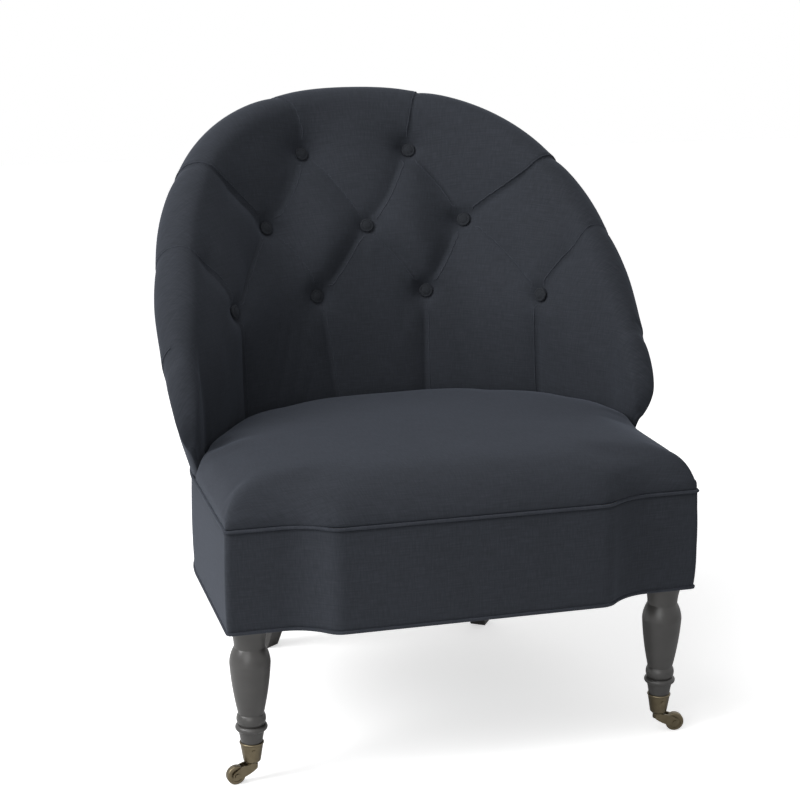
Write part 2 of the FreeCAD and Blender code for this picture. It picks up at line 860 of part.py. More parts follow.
def make_pleats(places):
    """Grooves from button to button, down to the seat and over the roll."""
    tools = []
    for row, index, other_row, other_index in crossing_pleats:
        start = places[row][index]
        end = places[other_row][other_index]
        tools.append(pleat_tool([(start[0], start[1]), (end[0], end[1])]))
    for row, index, rim_angle in rim_pleats:
        face, axis, angle = places[row][index]
        stations = [(face, axis)]
        touch_height = rim_height(rim_angle) - roll_radius
        for share in rim_pleat_shares:
            here = angle + (rim_angle - angle) * share
            height = face.z + (touch_height - face.z) * share
            stations.append((face_point(here, height, pleat_depth), pad_normal(here, button_leans[row])))
        stations += [roll_point(rim_angle, degrees, roll_pleat_depth) for degrees in rim_pleat_turns]
        tools.append(pleat_tool(stations))
    for face, axis, angle in places["lower_buttons"]:
        low = face_point(angle, seat_pleat_height, pleat_depth)
        lowest = face_point(angle, seat_line, pleat_depth)
        tools.append(pleat_tool([(face, axis), (low, axis), (lowest, axis)]))
    return tools


def make_back(form):
    low_rim = below_rim(roll_drop)
    skin = outside_back_thickness
    last = post_last_angle + gap
    foot = level(border_top)
    rail_zone = fan_shell(-last, last, skin, pad_layer, foot, below_rim(rim_rail_cover - gap))
    outer_zone = fan_shell(-last, last, -overrun, skin + gap, foot, low_rim)
    reach = base_half_width + overrun
    under_zone = box(-reach, reach, -reach, reach, border_bottom, seat_line)
    pad = form.cut([rail_zone, outer_zone, under_zone])
    wells = []
    twine_holes = []
    twines = []
    buttons = {row: [] for row in button_rows}
    places = {row: [] for row in button_rows}
    for row, face, axis, angle in all_buttons():
        places[row].append((face, axis, angle))
        buttons[row].append(make_button(face, axis))
        wells.append(make_well(face, axis))
        outward = lining_normal(angle)
        start = face - axis * (button_height + gap)
        reach = outer_radius(angle, face.z) - lining_layer + lining_thickness
        length = reach - math.hypot(face.x, face.y - tub_centre_y)
        twines.append(Part.makeCylinder(twine_radius, length + twine_tail, start, outward))
        twine_holes.append(Part.makeCylinder(twine_radius + hole_ease, length + overrun, start, outward))
    pad = pad.cut(wells + twine_holes + make_pleats(places))
    end = post_last_angle
    lining_back = lining_layer + lining_thickness
    lining = fan_shell(-end, end, lining_layer, lining_back, foot, below_rim(rim_rail_cover))
    outside = fan_shell(-end, end, 0, skin, level(seat_line), below_rim(roll_drop + gap))
    piping = fan_tube(
        -end,
        end,
        -(back_piping_radius + gap),
        below_rim(roll_drop + gap + back_piping_radius),
        back_piping_radius,
    )
    nodes = {
        "back_pad": single(pad),
        "back_lining": single(lining.cut(twine_holes)),
        "outside_back": outside,
        "back_piping": piping,
        "button_twines": group(twines),
    }
    for row in button_rows:
        nodes[row] = group(buttons[row])
    return nodes


# Legs

def make_front_leg(side):
    x_place = side * front_leg_x
    bulb_rise = (leg_neck_height - leg_bulb_height) / 2
    shank_radius = (leg_bulb_radius + leg_ankle_radius) / 2 + leg_shank_fullness
    steps = [
        (leg_top_radius, frame_bottom),
        (leg_top_radius, border_bottom),
        (
            leg_neck_radius + leg_neck_fullness,
            (border_bottom + leg_neck_height) / 2,
            leg_neck_radius,
            leg_neck_height,
        ),
        (leg_bulb_radius - leg_bulb_fullness, leg_bulb_height + bulb_rise, leg_bulb_radius, leg_bulb_height),
        (shank_radius, (leg_bulb_height + leg_ankle_height) / 2, leg_ankle_radius, leg_ankle_height),
        (leg_bead_radius, leg_bead_height, leg_groove_radius, leg_groove_height),
        (leg_ring_radius, leg_ring_height, leg_groove_radius, 2 * leg_ring_height - leg_groove_height),
        (leg_cove_radius, leg_cove_height, leg_toe_radius, cup_top),
        (cup_foot_radius - cup_wall - hole_ease, cup_bottom + cup_floor + toe_ease),
        (0, cup_bottom + cup_floor + toe_ease),
    ]
    return turned(x_place, front_leg_y, (0, frame_bottom), steps)


def square_wire(centre, size, angle):
    turn = math.radians(angle)
    outward = V(math.sin(turn), math.cos(turn), 0) * (size / 2)
    across = V(math.cos(turn), -math.sin(turn), 0) * (size / 2)
    first = centre + outward + across
    corners = [first, centre + outward - across, centre - outward - across, centre - outward + across]
    return Part.makePolygon(corners + [first])


def make_rear_leg(side):
    levels = (
        (rear_leg_top_angle, rear_leg_top_radius, frame_bottom, rear_leg_top_size),
        (rear_leg_top_angle, rear_leg_knee_radius, rear_leg_knee_height, rear_leg_knee_size),
        (rear_leg_foot_angle, rear_leg_foot_radius, 0, rear_leg_foot_size),
    )
    wires = [
        square_wire(fan_point(side * angle, radius, height), size, side * angle)
        for angle, radius, height, size in levels
    ]
    return Part.makeLoft(wires, True, False)


def bolt_places():
    places = []
    for side in (-1, 1):
        places.append(V(side * front_leg_x, front_leg_y, bolt_low))
        places.append(fan_point(side * rear_leg_top_angle, rear_bolt_radius_from_centre, bolt_low))
    return places


def make_bolts(radius, extra):
    start = V(0, 0, -extra)
    length = bolt_high - bolt_low + 2 * extra
    return [Part.makeCylinder(radius, length, place + start, V(0, 0, 1)) for place in bolt_places()]


# Castors

def make_cup(side):
    x_place = side * front_leg_x
    inner_top = leg_toe_radius + hole_ease
    inner_low = cup_foot_radius - cup_wall
    floor = cup_bottom + cup_floor
    lip_low = cup_top - cup_lip_height
    steps = [
        (cup_foot_radius - cup_chamfer, cup_bottom),
        (cup_foot_radius, cup_bottom + cup_chamfer),
        (cup_top_radius, lip_low),
        (cup_lip_radius, lip_low + cup_lip_height / 2, cup_top_radius, cup_top),
        (inner_top, cup_top),
        (inner_low, floor),
        (stem_radius + running_fit, floor),
    ]
    return turned(x_place, front_leg_y, (stem_radius + running_fit, cup_bottom), steps)


def cup_screw_shapes(side, ease):
    """Two short screws that pin the cup to the toe of the leg, front and back."""
    shapes = []
    share = (cup_screw_height - cup_bottom) / (cup_top - cup_bottom)
    surface = cup_foot_radius + (cup_top_radius - cup_foot_radius) * share
    for facing in (-1, 1):
        start_y = front_leg_y + facing * (surface + axle_head_height + gap)
        start = V(side * front_leg_x, start_y, cup_screw_height)
        inward = V(0, -facing, 0)
        shank = Part.makeCylinder(cup_screw_radius + ease, cup_screw_length + ease, start, inward)
        head = Part.makeCylinder(cup_screw_head_radius, axle_head_height - gap, start, inward)
        shapes.append(shank.fuse(head) if ease == 0 else shank)
    return shapes


def castor_placement(side):
    turn = math.atan2(-trail_forward, side * trail_outward)
    rotation = FreeCAD.Rotation(V(0, 0, 1), math.degrees(turn))
    return FreeCAD.Placement(V(side * front_leg_x, front_leg_y, 0), rotation)


def make_cheek(low, high):
    """One cheek of the horn, drawn in the upright plane along the trail."""
    axle = V(castor_trail, low, wheel_radius)

    def spot(along, height):
        return V(along, low, height)

    front = cheek_end_radius * math.sqrt(0.5)
    top_end = spot(axle.x + front, axle.z + front)
    low_end = spot(axle.x - front, axle.z - front)
    brow = spot(axle.x - front, axle.z + cheek_brow * front)
    sag = spot(horn_root, axle.z - cheek_sag * front)
    root_low = spot(-horn_back, horn_root_low)
    root_top = spot(-horn_back, horn_top)
    root_front = spot(horn_root, horn_top)
    edges = [
        Part.LineSegment(root_low, root_top).toShape(),
        Part.LineSegment(root_top, root_front).toShape(),
        Part.Arc(root_front, brow, top_end).toShape(),
        Part.Arc(top_end, spot(axle.x + front, axle.z - front), low_end).toShape(),
        Part.Arc(low_end, sag, root_low).toShape(),
    ]
    return Part.Face(Part.Wire(edges)).extrude(V(0, high - low, 0))


def make_castor(side):
    place = castor_placement(side)
    bridge = box(-horn_back, horn_root, -cheek_outer, cheek_outer, horn_root_low, horn_top)
    plate_top = cup_bottom - gap
    plate = Part.makeCylinder(horn_plate_radius, plate_top - horn_root_low, V(0, 0, horn_root_low))
    stem_top = cup_bottom + cup_floor + gap + stem_head_height
    stem = Part.makeCylinder(stem_radius, stem_top - horn_root_low, V(0, 0, horn_root_low))
    head = Part.makeCylinder(stem_head_radius, stem_head_height, V(0, 0, stem_top - stem_head_height))
    cheeks = [make_cheek(-cheek_outer, -cheek_inner), make_cheek(cheek_inner, cheek_outer)]
    fork = bridge.fuse([plate, stem, head] + cheeks).removeSplitter()
    half_span = cheek_outer + gap
    axle_start = V(castor_trail, -half_span, wheel_radius)
    along = V(0, 1, 0)
    axle = Part.makeCylinder(axle_radius, 2 * half_span, axle_start, along)
    for start, direction in ((axle_start, V(0, -1, 0)), (axle_start + along * (2 * half_span), along)):
        axle = axle.fuse(Part.makeCylinder(axle_head_radius, axle_head_height, start, direction))
    bore_start = axle_start - along * overrun
    bore = Part.makeCylinder(axle_radius + running_fit, 2 * (half_span + overrun), bore_start, along)
    fork = fork.cut(bore)
    wheel = make_wheel().cut(bore)
    pieces = {
        "castor_horn": single(fork),
        "castor_axle": single(axle.removeSplitter()),
        "castor_wheel": single(wheel),
    }
    for shape in pieces.values():
        shape.Placement = place.multiply(shape.Placement)
    return pieces


def make_wheel():
    """A solid brass wheel with rounded edges and a shallow dish on each face."""
    flat = wheel_radius - wheel_edge
    bend = wheel_edge * math.sqrt(0.5)
    side = wheel_half_width
    dished = side - wheel_dish_depth
    half = [
        (0, side), (hub_radius, side), (hub_radius, dished), (wheel_dish_radius, dished),
        (wheel_dish_radius, side), (flat, side),
    ]
    def spot(radius, across):
        return V(castor_trail, across, wheel_radius + radius)
    edges = []
    for sign in (1, -1):
        points = [spot(radius, sign * across) for radius, across in half]
        edges += [Part.LineSegment(a, b).toShape() for a, b in zip(points, points[1:])]
        rounded = spot(flat + bend, sign * (side - wheel_edge + bend))
        edges.append(Part.Arc(points[-1], rounded, spot(wheel_radius, sign * (side - wheel_edge))).toShape())
    tread = side - wheel_edge
    edges.append(Part.LineSegment(spot(wheel_radius, tread), spot(wheel_radius, -tread)).toShape())
    edges.append(Part.LineSegment(spot(0, side), spot(0, -side)).toShape())
    face = Part.Face(Part.Wire(Part.__sortEdges__(edges)))
    return face.revolve(V(castor_trail, 0, wheel_radius), V(0, 1, 0), 360)


def build():
    nodes = {}
    nodes.update(make_borders())
    nodes.update(make_piping())
    frame = make_seat_frame()
    bolt_holes = make_bolts(bolt_radius + hole_ease, gap)
    nodes.update(frame)
    nodes["corner_blocks"] = make_corner_blocks(frame, bolt_holes)
    for name in ("front_seat_rail", "side_seat_rail_left", "side_seat_rail_right", "rear_seat_rail"):
        nodes[name] = single(frame[name].cut(bolt_holes))
    nodes["leg_bolts"] = group(make_bolts(bolt_radius, 0))
    nodes.update(make_springs())
    last = post_last_angle + gap
    cover_top = level(border_top + spring_cover_thickness)
    frame_room = fan_shell(-last, last, -gap, pad_layer, level(border_top), cover_top)
    cover = full_plan(spring_cover_inset, border_top, spring_cover_thickness)
    nodes["spring_cover"] = single(cover.cut(frame_room))
    back_clearance = back_form(gap)
    nodes.update(make_seat(back_clearance))
    nodes.update(make_back_frame())
    nodes.update(make_back(back_form(0)))
    legs = {}
    screws = []
    for side, word in ((-1, "left"), (1, "right")):
        screws += cup_screw_shapes(side, 0)
        screw_holes = cup_screw_shapes(side, hole_ease)
        legs["front_leg_" + word] = single(make_front_leg(side).cut(bolt_holes + screw_holes))
        legs["rear_leg_" + word] = single(make_rear_leg(side).cut(bolt_holes))
        nodes["castor_cup_" + word] = single(make_cup(side).cut(screw_holes))
        for name, shape in make_castor(side).items():
            nodes[name + "_" + word] = shape
    nodes["cup_screws"] = group(screws)
    nodes.update(legs)
    sheet = full_plan(dust_cover_inset, frame_bottom - gap - dust_cover_thickness, dust_cover_thickness)
    openings = []
    for side in (-1, 1):
        front_centre = V(side * front_leg_x, front_leg_y, border_bottom)
        openings.append(Part.makeCylinder(leg_top_radius + gap, overrun, front_centre))
        size = rear_leg_top_size + 2 * gap
        centre = fan_point(side * rear_leg_top_angle, rear_leg_top_radius, border_bottom)
        opening = Part.Face(square_wire(centre, size, side * rear_leg_top_angle))
        openings.append(opening.extrude(V(0, 0, overrun)))
    nodes["dust_cover"] = single(sheet.cut(openings))
    return nodes


os.makedirs("parts", exist_ok=True)
for node, shape in build().items():
    shape.exportStep("parts/" + node + ".step")
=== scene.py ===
# %% [markdown]
# A button-back tub chair, dressed for its picture.
# The wooden frame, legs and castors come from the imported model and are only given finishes.
# Everything that an upholsterer would cut, stuff and sew is made here, over that frame:
# the padded back with its nine tufts, the crowned seat, the boxed base and the piping.

# %% Load the frame
import json
import math
import time

import bmesh
import bpy
import numpy as np
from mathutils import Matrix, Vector
from mathutils.bvhtree import BVHTree
from mathutils.kdtree import KDTree

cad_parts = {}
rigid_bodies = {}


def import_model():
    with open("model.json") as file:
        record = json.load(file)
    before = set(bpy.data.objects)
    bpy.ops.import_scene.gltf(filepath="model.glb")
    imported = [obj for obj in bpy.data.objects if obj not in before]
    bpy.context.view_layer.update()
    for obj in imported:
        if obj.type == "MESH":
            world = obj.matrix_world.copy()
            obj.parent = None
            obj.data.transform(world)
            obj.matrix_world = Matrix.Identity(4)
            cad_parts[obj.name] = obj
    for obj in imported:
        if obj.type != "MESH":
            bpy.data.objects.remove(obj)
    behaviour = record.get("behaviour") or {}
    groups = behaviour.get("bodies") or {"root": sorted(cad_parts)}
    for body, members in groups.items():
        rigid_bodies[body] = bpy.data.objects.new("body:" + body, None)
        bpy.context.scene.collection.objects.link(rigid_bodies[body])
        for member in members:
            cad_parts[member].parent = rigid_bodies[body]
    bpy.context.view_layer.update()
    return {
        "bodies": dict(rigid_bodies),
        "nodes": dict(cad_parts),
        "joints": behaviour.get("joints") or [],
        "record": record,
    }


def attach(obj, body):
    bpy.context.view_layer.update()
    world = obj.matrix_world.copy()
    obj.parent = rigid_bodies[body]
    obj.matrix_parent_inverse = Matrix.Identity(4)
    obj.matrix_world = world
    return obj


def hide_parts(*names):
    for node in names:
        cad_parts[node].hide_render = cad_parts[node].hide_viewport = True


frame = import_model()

began = time.time()

# %% [markdown]
# The chair's own measures are needed again here, so that the covers sit on the frame.
# They are given in millimetres, as an upholsterer would note them, and turned to metres
# only when a mesh is made. Angles are seen from above, in degrees from the middle of the
# back, round the point that the tub curves about.

# %% Measures of the chair
FRONT = -315.0
TUB_Y = FRONT + 231.0
HEM, WELT = 217.0, 356.0
SEAT_LINE = 359.8
HALF_WIDTH, SIDE_FLARE = 321.0, 0.155
REAR_DEPTH, REAR_FLARE = 274.0, 0.25
CROWN, RIM_FALL, RIM_POWER = 842.0, 850.0, 2.45
WING_ANGLE, TIP_ANGLE, TIP_HEIGHT = 84.7, 92.8, 440.0
ROLL, OVERHANG, ROLL_DROP = 30.0, 7.0, 55.0
PANEL_END = 82.4
# how far the breakfront stands out at the seat, how much more at the hem, and where its ends run
BREAKFRONT, BREAKFRONT_GAIN, BREAKFRONT_ENDS = 27.0, 6.0, (175.0, 252.0)
# cloth that goes round the tub is measured at this radius
CLOTH_RADIUS = 300.0

# angle, thickness at the seat, belly height and thickness, shoulder height and thickness
BACK_PROFILES = np.array([
    (0.0, 85, 645, 103, 755, 60),
    (14.0, 80, 635, 106, 755, 48),
    (28.0, 68, 560, 88, 680, 54),
    (42.0, 54, 550, 90, 660, 66),
    (56.0, 42, 545, 92, 620, 76),
    (70.0, 34, 500, 70, 552, 66),
    (84.7, 25, 440, 42, 470, 46),
], dtype=float)

# each tuft: angle, distance from the middle, height, how far its face tips up
TUFTS = {
    "a1": (-13.2, 368.0, 751.0, 0.45), "a2": (13.2, 368.0, 751.0, 0.45),
    "b1": (-27.6, 331.0, 650.0, 0.4), "b2": (0.0, 289.5, 648.0, 0.4), "b3": (27.6, 331.0, 650.0, 0.4),
    "c1": (-56.4, 274.0, 555.0, 0.2), "c2": (-18.0, 274.0, 548.0, 0.2),
    "c3": (18.0, 274.0, 548.0, 0.2), "c4": (56.4, 274.0, 555.0, 0.2),
}


def outer_radius(angle, height):
    """How far the outside of the tub stands from the point that it curves round."""
    half_width = HALF_WIDTH + SIDE_FLARE * np.maximum(height - WELT, 0)
    depth = REAR_DEPTH + REAR_FLARE * (height - HEM)
    turn = np.radians(angle)
    return half_width * depth / np.hypot(depth * np.sin(turn), half_width * np.cos(turn))


def rim_height(angle):
    """The top of the roll, which falls slowly at first and then fast towards the wings."""
    turn = np.radians(np.minimum(np.abs(angle), WING_ANGLE))
    return CROWN - RIM_FALL * np.sin(turn / 2) ** RIM_POWER


def around(angle, radius, height):
    """A point at an angle round the tub, in millimetres."""
    turn = np.radians(angle)
    x = radius * np.sin(turn)
    y = TUB_Y + radius * np.cos(turn)
    return np.stack(np.broadcast_arrays(x, y, height), axis=-1)


def on_outside(angle, height, out=0.0):
    """A point on the outside of the tub, or so many mm further out."""
    return around(angle, outer_radius(angle, height) + out, height)


def ramp(x, start, end):
    """How far x has come from start to end, as a share from 0 to 1."""
    return np.clip((x - start) / (end - start), 0, 1)


def soft_ramp(x, start, end):
    """The same share, but leaving and arriving gently."""
    share = ramp(x, start, end)
    return share ** 2 * (3 - 2 * share)


print("rim at the middle, the shoulder and the wing:", [round(float(rim_height(a))) for a in (0, 45, 84.7)])

# %% [markdown]
# Small helpers do the plain work. One turns a grid of points into a mesh, and gives it a
# UV map measured along the cloth in metres, because a weave has to follow the cloth and
# not the room. Another bakes a piece: it works out every modifier once and keeps the
# result as a plain mesh.

# %% Helpers for meshes


def linked(name, data):
    """A new object, put in the scene."""
    made = bpy.data.objects.new(name, data)
    bpy.context.collection.objects.link(made)
    return made


def object_from(name, points, faces=(), uvs=None, edges=()):
    """A mesh object from points in millimetres, with UVs in metres."""
    mesh = bpy.data.meshes.new(name)
    mesh.from_pydata([tuple(p) for p in np.asarray(points) / 1000], list(edges), [tuple(f) for f in faces])
    if uvs is not None:
        layer = mesh.uv_layers.new(name="cloth")
        corners = np.empty(len(mesh.loops), dtype=int)
        mesh.loops.foreach_get("vertex_index", corners)
        flat = np.asarray(uvs)[corners] / 1000
        layer.data.foreach_set("uv", flat.astype(np.float32).ravel())
    mesh.shade_smooth()
    return linked(name, mesh)


def grid_faces(rows, columns, close_rows=False, close_columns=False, flip=False):
    """The four-sided faces of a grid of points, which may close on itself either way."""
    faces = []
    for i in range(rows if close_rows else rows - 1):
        for j in range(columns if close_columns else columns - 1):
            i2, j2 = (i + 1) % rows, (j + 1) % columns
            quad = (i * columns + j, i2 * columns + j, i2 * columns + j2, i * columns + j2)
            faces.append(quad[::-1] if flip else quad)
    return faces


def lengths_along(path):
    """The length run up to each point of a path, or of each row of a grid."""
    steps = np.linalg.norm(np.diff(path, axis=-2), axis=-1)
    return np.concatenate([np.zeros_like(steps[..., :1]), np.cumsum(steps, axis=-1)], axis=-1)


def cloth_piece(name, grid, across, along, **closing):
    """A piece from a grid of points, with the two lengths along the cloth that are its UVs."""
    uvs = np.column_stack([np.ravel(across), np.ravel(along)])
    return object_from(name, grid.reshape(-1, 3), grid_faces(*grid.shape[:2], **closing), uvs)


def baked(piece):
    """The piece with all its modifiers worked out, as one plain mesh."""
    bpy.context.view_layer.update()
    evaluated = piece.evaluated_get(bpy.context.evaluated_depsgraph_get())
    mesh = bpy.data.meshes.new_from_object(evaluated)
    piece.modifiers.clear()
    piece.data = mesh
    return piece


def positions(mesh):
    """All vertices of a mesh in millimetres."""
    flat = np.empty(len(mesh.vertices) * 3)
    mesh.vertices.foreach_get("co", flat)
    return flat.reshape(-1, 3) * 1000


def place_all(mesh, points):
    mesh.vertices.foreach_set("co", (np.asarray(points) / 1000).ravel())
    mesh.update()


def subdivided(piece):
    """One level of smoothing, after which every open edge is closed with a flat face."""
    piece.modifiers.new("smooth", "SUBSURF").levels = 1
    baked(piece)
    work = bmesh.new()
    work.from_mesh(piece.data)
    bmesh.ops.holes_fill(work, edges=[edge for edge in work.edges if edge.is_boundary])
    work.to_mesh(piece.data)
    work.free()


def worn_by_chair(piece, slot, *nodes, cloth=None):
    """The piece stands for these nodes of the frame and moves with the chair."""
    if cloth:
        piece.data.materials.append(cloth)
    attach(piece, "chair")
    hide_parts(*nodes)
    print(piece.name, "has", len(piece.data.polygons), "faces")


# %% [markdown]
# Colours are written as the hex values that a painter or a web page would use. Blender
# mixes light in linear values, so one function turns the one into the other. The others
# add nodes with their settings and links, which keeps each material a short list.

# %% Helpers for materials


def colour(code):
    parts = [int(code[i:i + 2], 16) / 255 for i in (1, 3, 5)]
    linear = [c / 12.92 if c <= 0.04045 else ((c + 0.055) / 1.055) ** 2.4 for c in parts]
    return (*linear, 1.0)


def add_node(tree, kind, links=None, **settings):
    """Adds a node, a shader node if its kind doesn't say which.

    Settings starting with a capital are sockets, the rest are properties.
    """
    made = tree.nodes.new(kind if "Node" in kind else "ShaderNode" + kind)
    for key, value in settings.items():
        if key[0].isupper():
            made.inputs[key.replace("_", " ")].default_value = value
        else:
            setattr(made, key, value)
    for socket, source in (links or {}).items():
        tree.links.new(source, made.inputs[socket])
    return made


def new_material(name, rough, metal=0.0, source="Object"):
    """A material with its tree, its shader and the coordinates that its pattern follows."""
    made = bpy.data.materials.new(name)
    made.use_nodes = True
    tree = made.node_tree
    tree.nodes.clear()
    shader = add_node(tree, "BsdfPrincipled", Roughness=rough, Metallic=metal)
    add_node(tree, "OutputMaterial", {"Surface": shader.outputs["BSDF"]})
    return made, tree, shader, add_node(tree, "TexCoord").outputs[source]


def noise(tree, place, scale, detail=2.0, rough=0.5):
    choices = {"Scale": scale, "Detail": detail, "Roughness": rough}
    return add_node(tree, "TexNoise", {"Vector": place}, **choices).outputs[0]


def colour_by(tree, shader, factor, dark, light):
    """Colours a shader between dark and light, steered by a grey value."""
    mix = add_node(tree, "Mix", {0: factor}, data_type="RGBA")
    mix.inputs[6].default_value = colour(dark)
    mix.inputs[7].default_value = colour(light)
    tree.links.new(mix.outputs[2], shader.inputs["Base Color"])


def bump_by(tree, shader, height, strength, distance):
    bump = add_node(tree, "Bump", {"Height": height}, Strength=strength, Distance=distance)
    tree.links.new(bump.outputs[0], shader.inputs["Normal"])


def make_plain(name, dark, light, rough, metal=0.0):
    """A plain material with a fine fleck."""
    made, tree, shader, place = new_material(name, rough, metal)
    fleck = noise(tree, place, 300.0, 3.0)
    colour_by(tree, shader, fleck, dark, light)
    bump_by(tree, shader, fleck, 0.2, 0.0005)
    return made


# %% [markdown]
# The cover is a plain-woven cloth of cotton and linen, dyed a blue charcoal and brushed
# soft. Linen yarn is uneven: thick places, called slubs, show as faint streaks along the
# weft, 15 to 40 mm long and a thread or two high. The threads are about 0.7 mm apart,
# finer than a pixel of the picture, so they are drawn 1.5 mm apart to be seen at all.
# Brushed cloth has a short nap that catches light at grazing angles, which is what the
# shader's sheen is for. It has no gloss worth showing, so its roughness is high.

# %% Cloth
THREAD_MM = 1.5


def make_cloth(name, dark, light, sheen, source="UV"):
    """A weave of slubbed weft over fine warp ribs, with paler and darker patches."""
    made, tree, shader, place = new_material(name, 0.92, source=source)
    per_metre = 0.8 * 1000 / THREAD_MM
    weft = add_node(tree, "Mapping", {"Vector": place}, Scale=(35, per_metre, per_metre))
    warp = add_node(tree, "Mapping", {"Vector": place}, Scale=(per_metre, 60, 60))
    slubs, ribs = [noise(tree, yarn.outputs[0], 1.0, rough=0.6) for yarn in (weft, warp)]
    weave = add_node(tree, "Math", {0: slubs, 1: ribs}, operation="MULTIPLY").outputs[0]
    spread = add_node(tree, "MapRange", {"Value": weave}, From_Min=0.06, From_Max=0.46)
    drift = add_node(tree, "Math", {0: noise(tree, place, 9.0, 3.0, 0.55)}, operation="MULTIPLY_ADD")
    drift.inputs[1].default_value, drift.inputs[2].default_value = 0.5, -0.25
    sides = {0: spread.outputs[0], 1: drift.outputs[0]}
    factor = add_node(tree, "Math", sides, operation="ADD", use_clamp=True)
    colour_by(tree, shader, factor.outputs[0], dark, light)
    bump_by(tree, shader, weave, 0.35, 0.0008)
    shader.inputs["Specular IOR Level"].default_value = 0.25
    shader.inputs["Sheen Weight"].default_value = sheen
    shader.inputs["Sheen Roughness"].default_value = 0.45
    shader.inputs["Sheen Tint"].default_value = colour("#8a93a5")
    return made


cover_cloth = make_cloth("brushed_cotton_linen", "#23262b", "#2f3239", 0.22)
# the buttons take a darker copy of the cover cloth, which paints the shade of the pits they sit in
button_cloth = make_cloth("button_cloth_with_painted_shade", "#1b1d21", "#26292e", 0.16)
print("cloth threads drawn", THREAD_MM, "mm apart")

# %% [markdown]
# The camera is set where the photograph's was: to the sitter's right of the chair, a
# little above the top of its back, with a long lens. Its place and its angles were solved
# once from the chair's own plan, and are written here as plain numbers.

# %% Camera
camera = linked("camera", bpy.data.cameras.new("camera"))
camera.data.lens = 83.74
camera.data.sensor_width = 36.0
camera.location = (-0.7069, -2.1863 + FRONT / 1000, 1.1117)
camera.rotation_euler = (math.radians(90 - 14.79), 0, math.radians(-15.65))
bpy.context.scene.camera = camera
print("camera lens", camera.data.lens, "mm")

# %% [markdown]
# The light is that of a white studio: a large soft source high on the left of the picture,
# a second one above it, a weaker one in front, and a pale room that fills the shadows.
# The floor glows a little for the camera alone, so that it reads as white paper. The glow is
# turned down where the chair is near, which paints a soft shadow under it, on top of the one that the lamps
# cast.

# %% Studio
world = bpy.data.worlds.new("studio")
bpy.context.scene.world = world
world.use_nodes = True
sky = world.node_tree
sky.nodes.clear()
rays = add_node(sky, "LightPath").outputs
seen = add_node(sky, "Math", {0: rays["Is Camera Ray"], 1: rays["Is Glossy Ray"]}, operation="MAXIMUM")
room, paper = [add_node(sky, "Background", Color=(1, 1, 1, 1), Strength=level) for level in (0.26, 1.0)]
both = add_node(sky, "MixShader", {0: seen.outputs[0], 1: room.outputs[0], 2: paper.outputs[0]})
add_node(sky, "OutputWorld", {"Surface": both.outputs[0]})


def soft_light(name, place, size, watts, target=(0, 0, 0.45)):
    lamp = bpy.data.lights.new(name, "AREA")
    lamp.shape = "DISK"
    lamp.size = size
    lamp.energy = watts
    holder = linked(name, lamp)
    holder.location = place
    holder.rotation_euler = (Vector(target) - Vector(place)).to_track_quat("-Z", "Y").to_euler()


soft_light("key_light", (-2.5, -0.6, 2.0), 1.6, 62)
soft_light("top_light", (-1.2, -0.6, 3.0), 1.8, 30)
soft_light("front_light", (-1.6, -2.6, 1.2), 2.0, 23)

FLOOR_REACH = 6000.0
floor_points = [(x * FLOOR_REACH, y * FLOOR_REACH, 0) for x, y in ((-1, -1), (1, -1), (1, 1), (-1, 1))]
floor = object_from("studio_floor", floor_points, [(0, 1, 2, 3)])
paper_floor, tree, shader, place = new_material("white_paper", 0.9)
colour_by(tree, shader, noise(tree, place, 3.0), "#f3f3f3", "#f7f7f7")
shader.inputs["Emission Color"].default_value = (1, 1, 1, 1)
lit = add_node(tree, "LightPath").outputs["Is Camera Ray"]
# less glow where the chair is near: a painted contact shadow on the floor
open_sky = add_node(tree, "AmbientOcclusion", Distance=0.45, samples=8).outputs["AO"]
glow_with_painted_shadow = add_node(tree, "MapRange", {"Value": open_sky}, To_Min=0.5, To_Max=0.7)
glow = add_node(tree, "Math", {0: lit, 1: glow_with_painted_shadow.outputs[0]}, operation="MULTIPLY")
tree.links.new(glow.outputs[0], shader.inputs["Emission Strength"])
floor.data.materials.append(paper_floor)

# %% [markdown]
# The padded back is one form, so it is drawn as one grid: upright sections, each in a
# plane through the middle of the tub, laid side by side from wing tip to wing tip. Each
# section goes up the inside face, over the roll, down to the piping behind it and back
# under. A cubic curve through the measured profiles keeps the face smooth between them.
# Towards the wings the pad thins.

# %% Sections of the back
FACE_ROWS, ROLL_ROWS, OUTER_ROWS, HIDDEN_ROWS, FOOT_ROWS = 80, 22, 9, 7, 4
LAST_SEEN = FACE_ROWS + ROLL_ROWS + OUTER_ROWS - 4
# how far the hidden rear of the pad stays inside the outside panel, and how much less at a wing
TUCK, WING_FILL = 4.5, 3.0
# the share by which the pad is thinner at the wing
WING_THINNING = 0.28


def through(x, known_x, known_y):
    """A smooth curve through known points that are mirrored about zero."""
    xs = np.concatenate([-known_x[:0:-1], known_x])
    ys = np.concatenate([known_y[:0:-1], known_y])
    slopes = np.gradient(ys, xs)
    i = np.clip(np.searchsorted(xs, x) - 1, 0, len(xs) - 2)
    step = xs[i + 1] - xs[i]
    t = (x - xs[i]) / step
    first = (2 * t**3 - 3 * t**2 + 1) * ys[i] + (t**3 - 2 * t**2 + t) * step * slopes[i]
    return first + (3 * t**2 - 2 * t**3) * ys[i + 1] + (t**3 - t**2) * step * slopes[i + 1]


def spread_along(path, count):
    """Points at even steps along a path."""
    path = np.asarray(path)
    lengths = lengths_along(path)
    at = np.linspace(0, lengths[-1], count)
    return np.stack([np.interp(at, lengths, path[:, k]) for k in range(path.shape[1])], axis=1)


def rounded(before, corner, after, easing):
    """A corner of a path as a short smooth curve."""
    start = corner + (before - corner) / np.linalg.norm(before - corner) * easing
    end = corner + (after - corner) / np.linalg.norm(after - corner) * easing
    return [start * (1 - t)**2 + corner * 2 * t * (1 - t) + end * t**2 for t in np.linspace(0, 1, 9)]


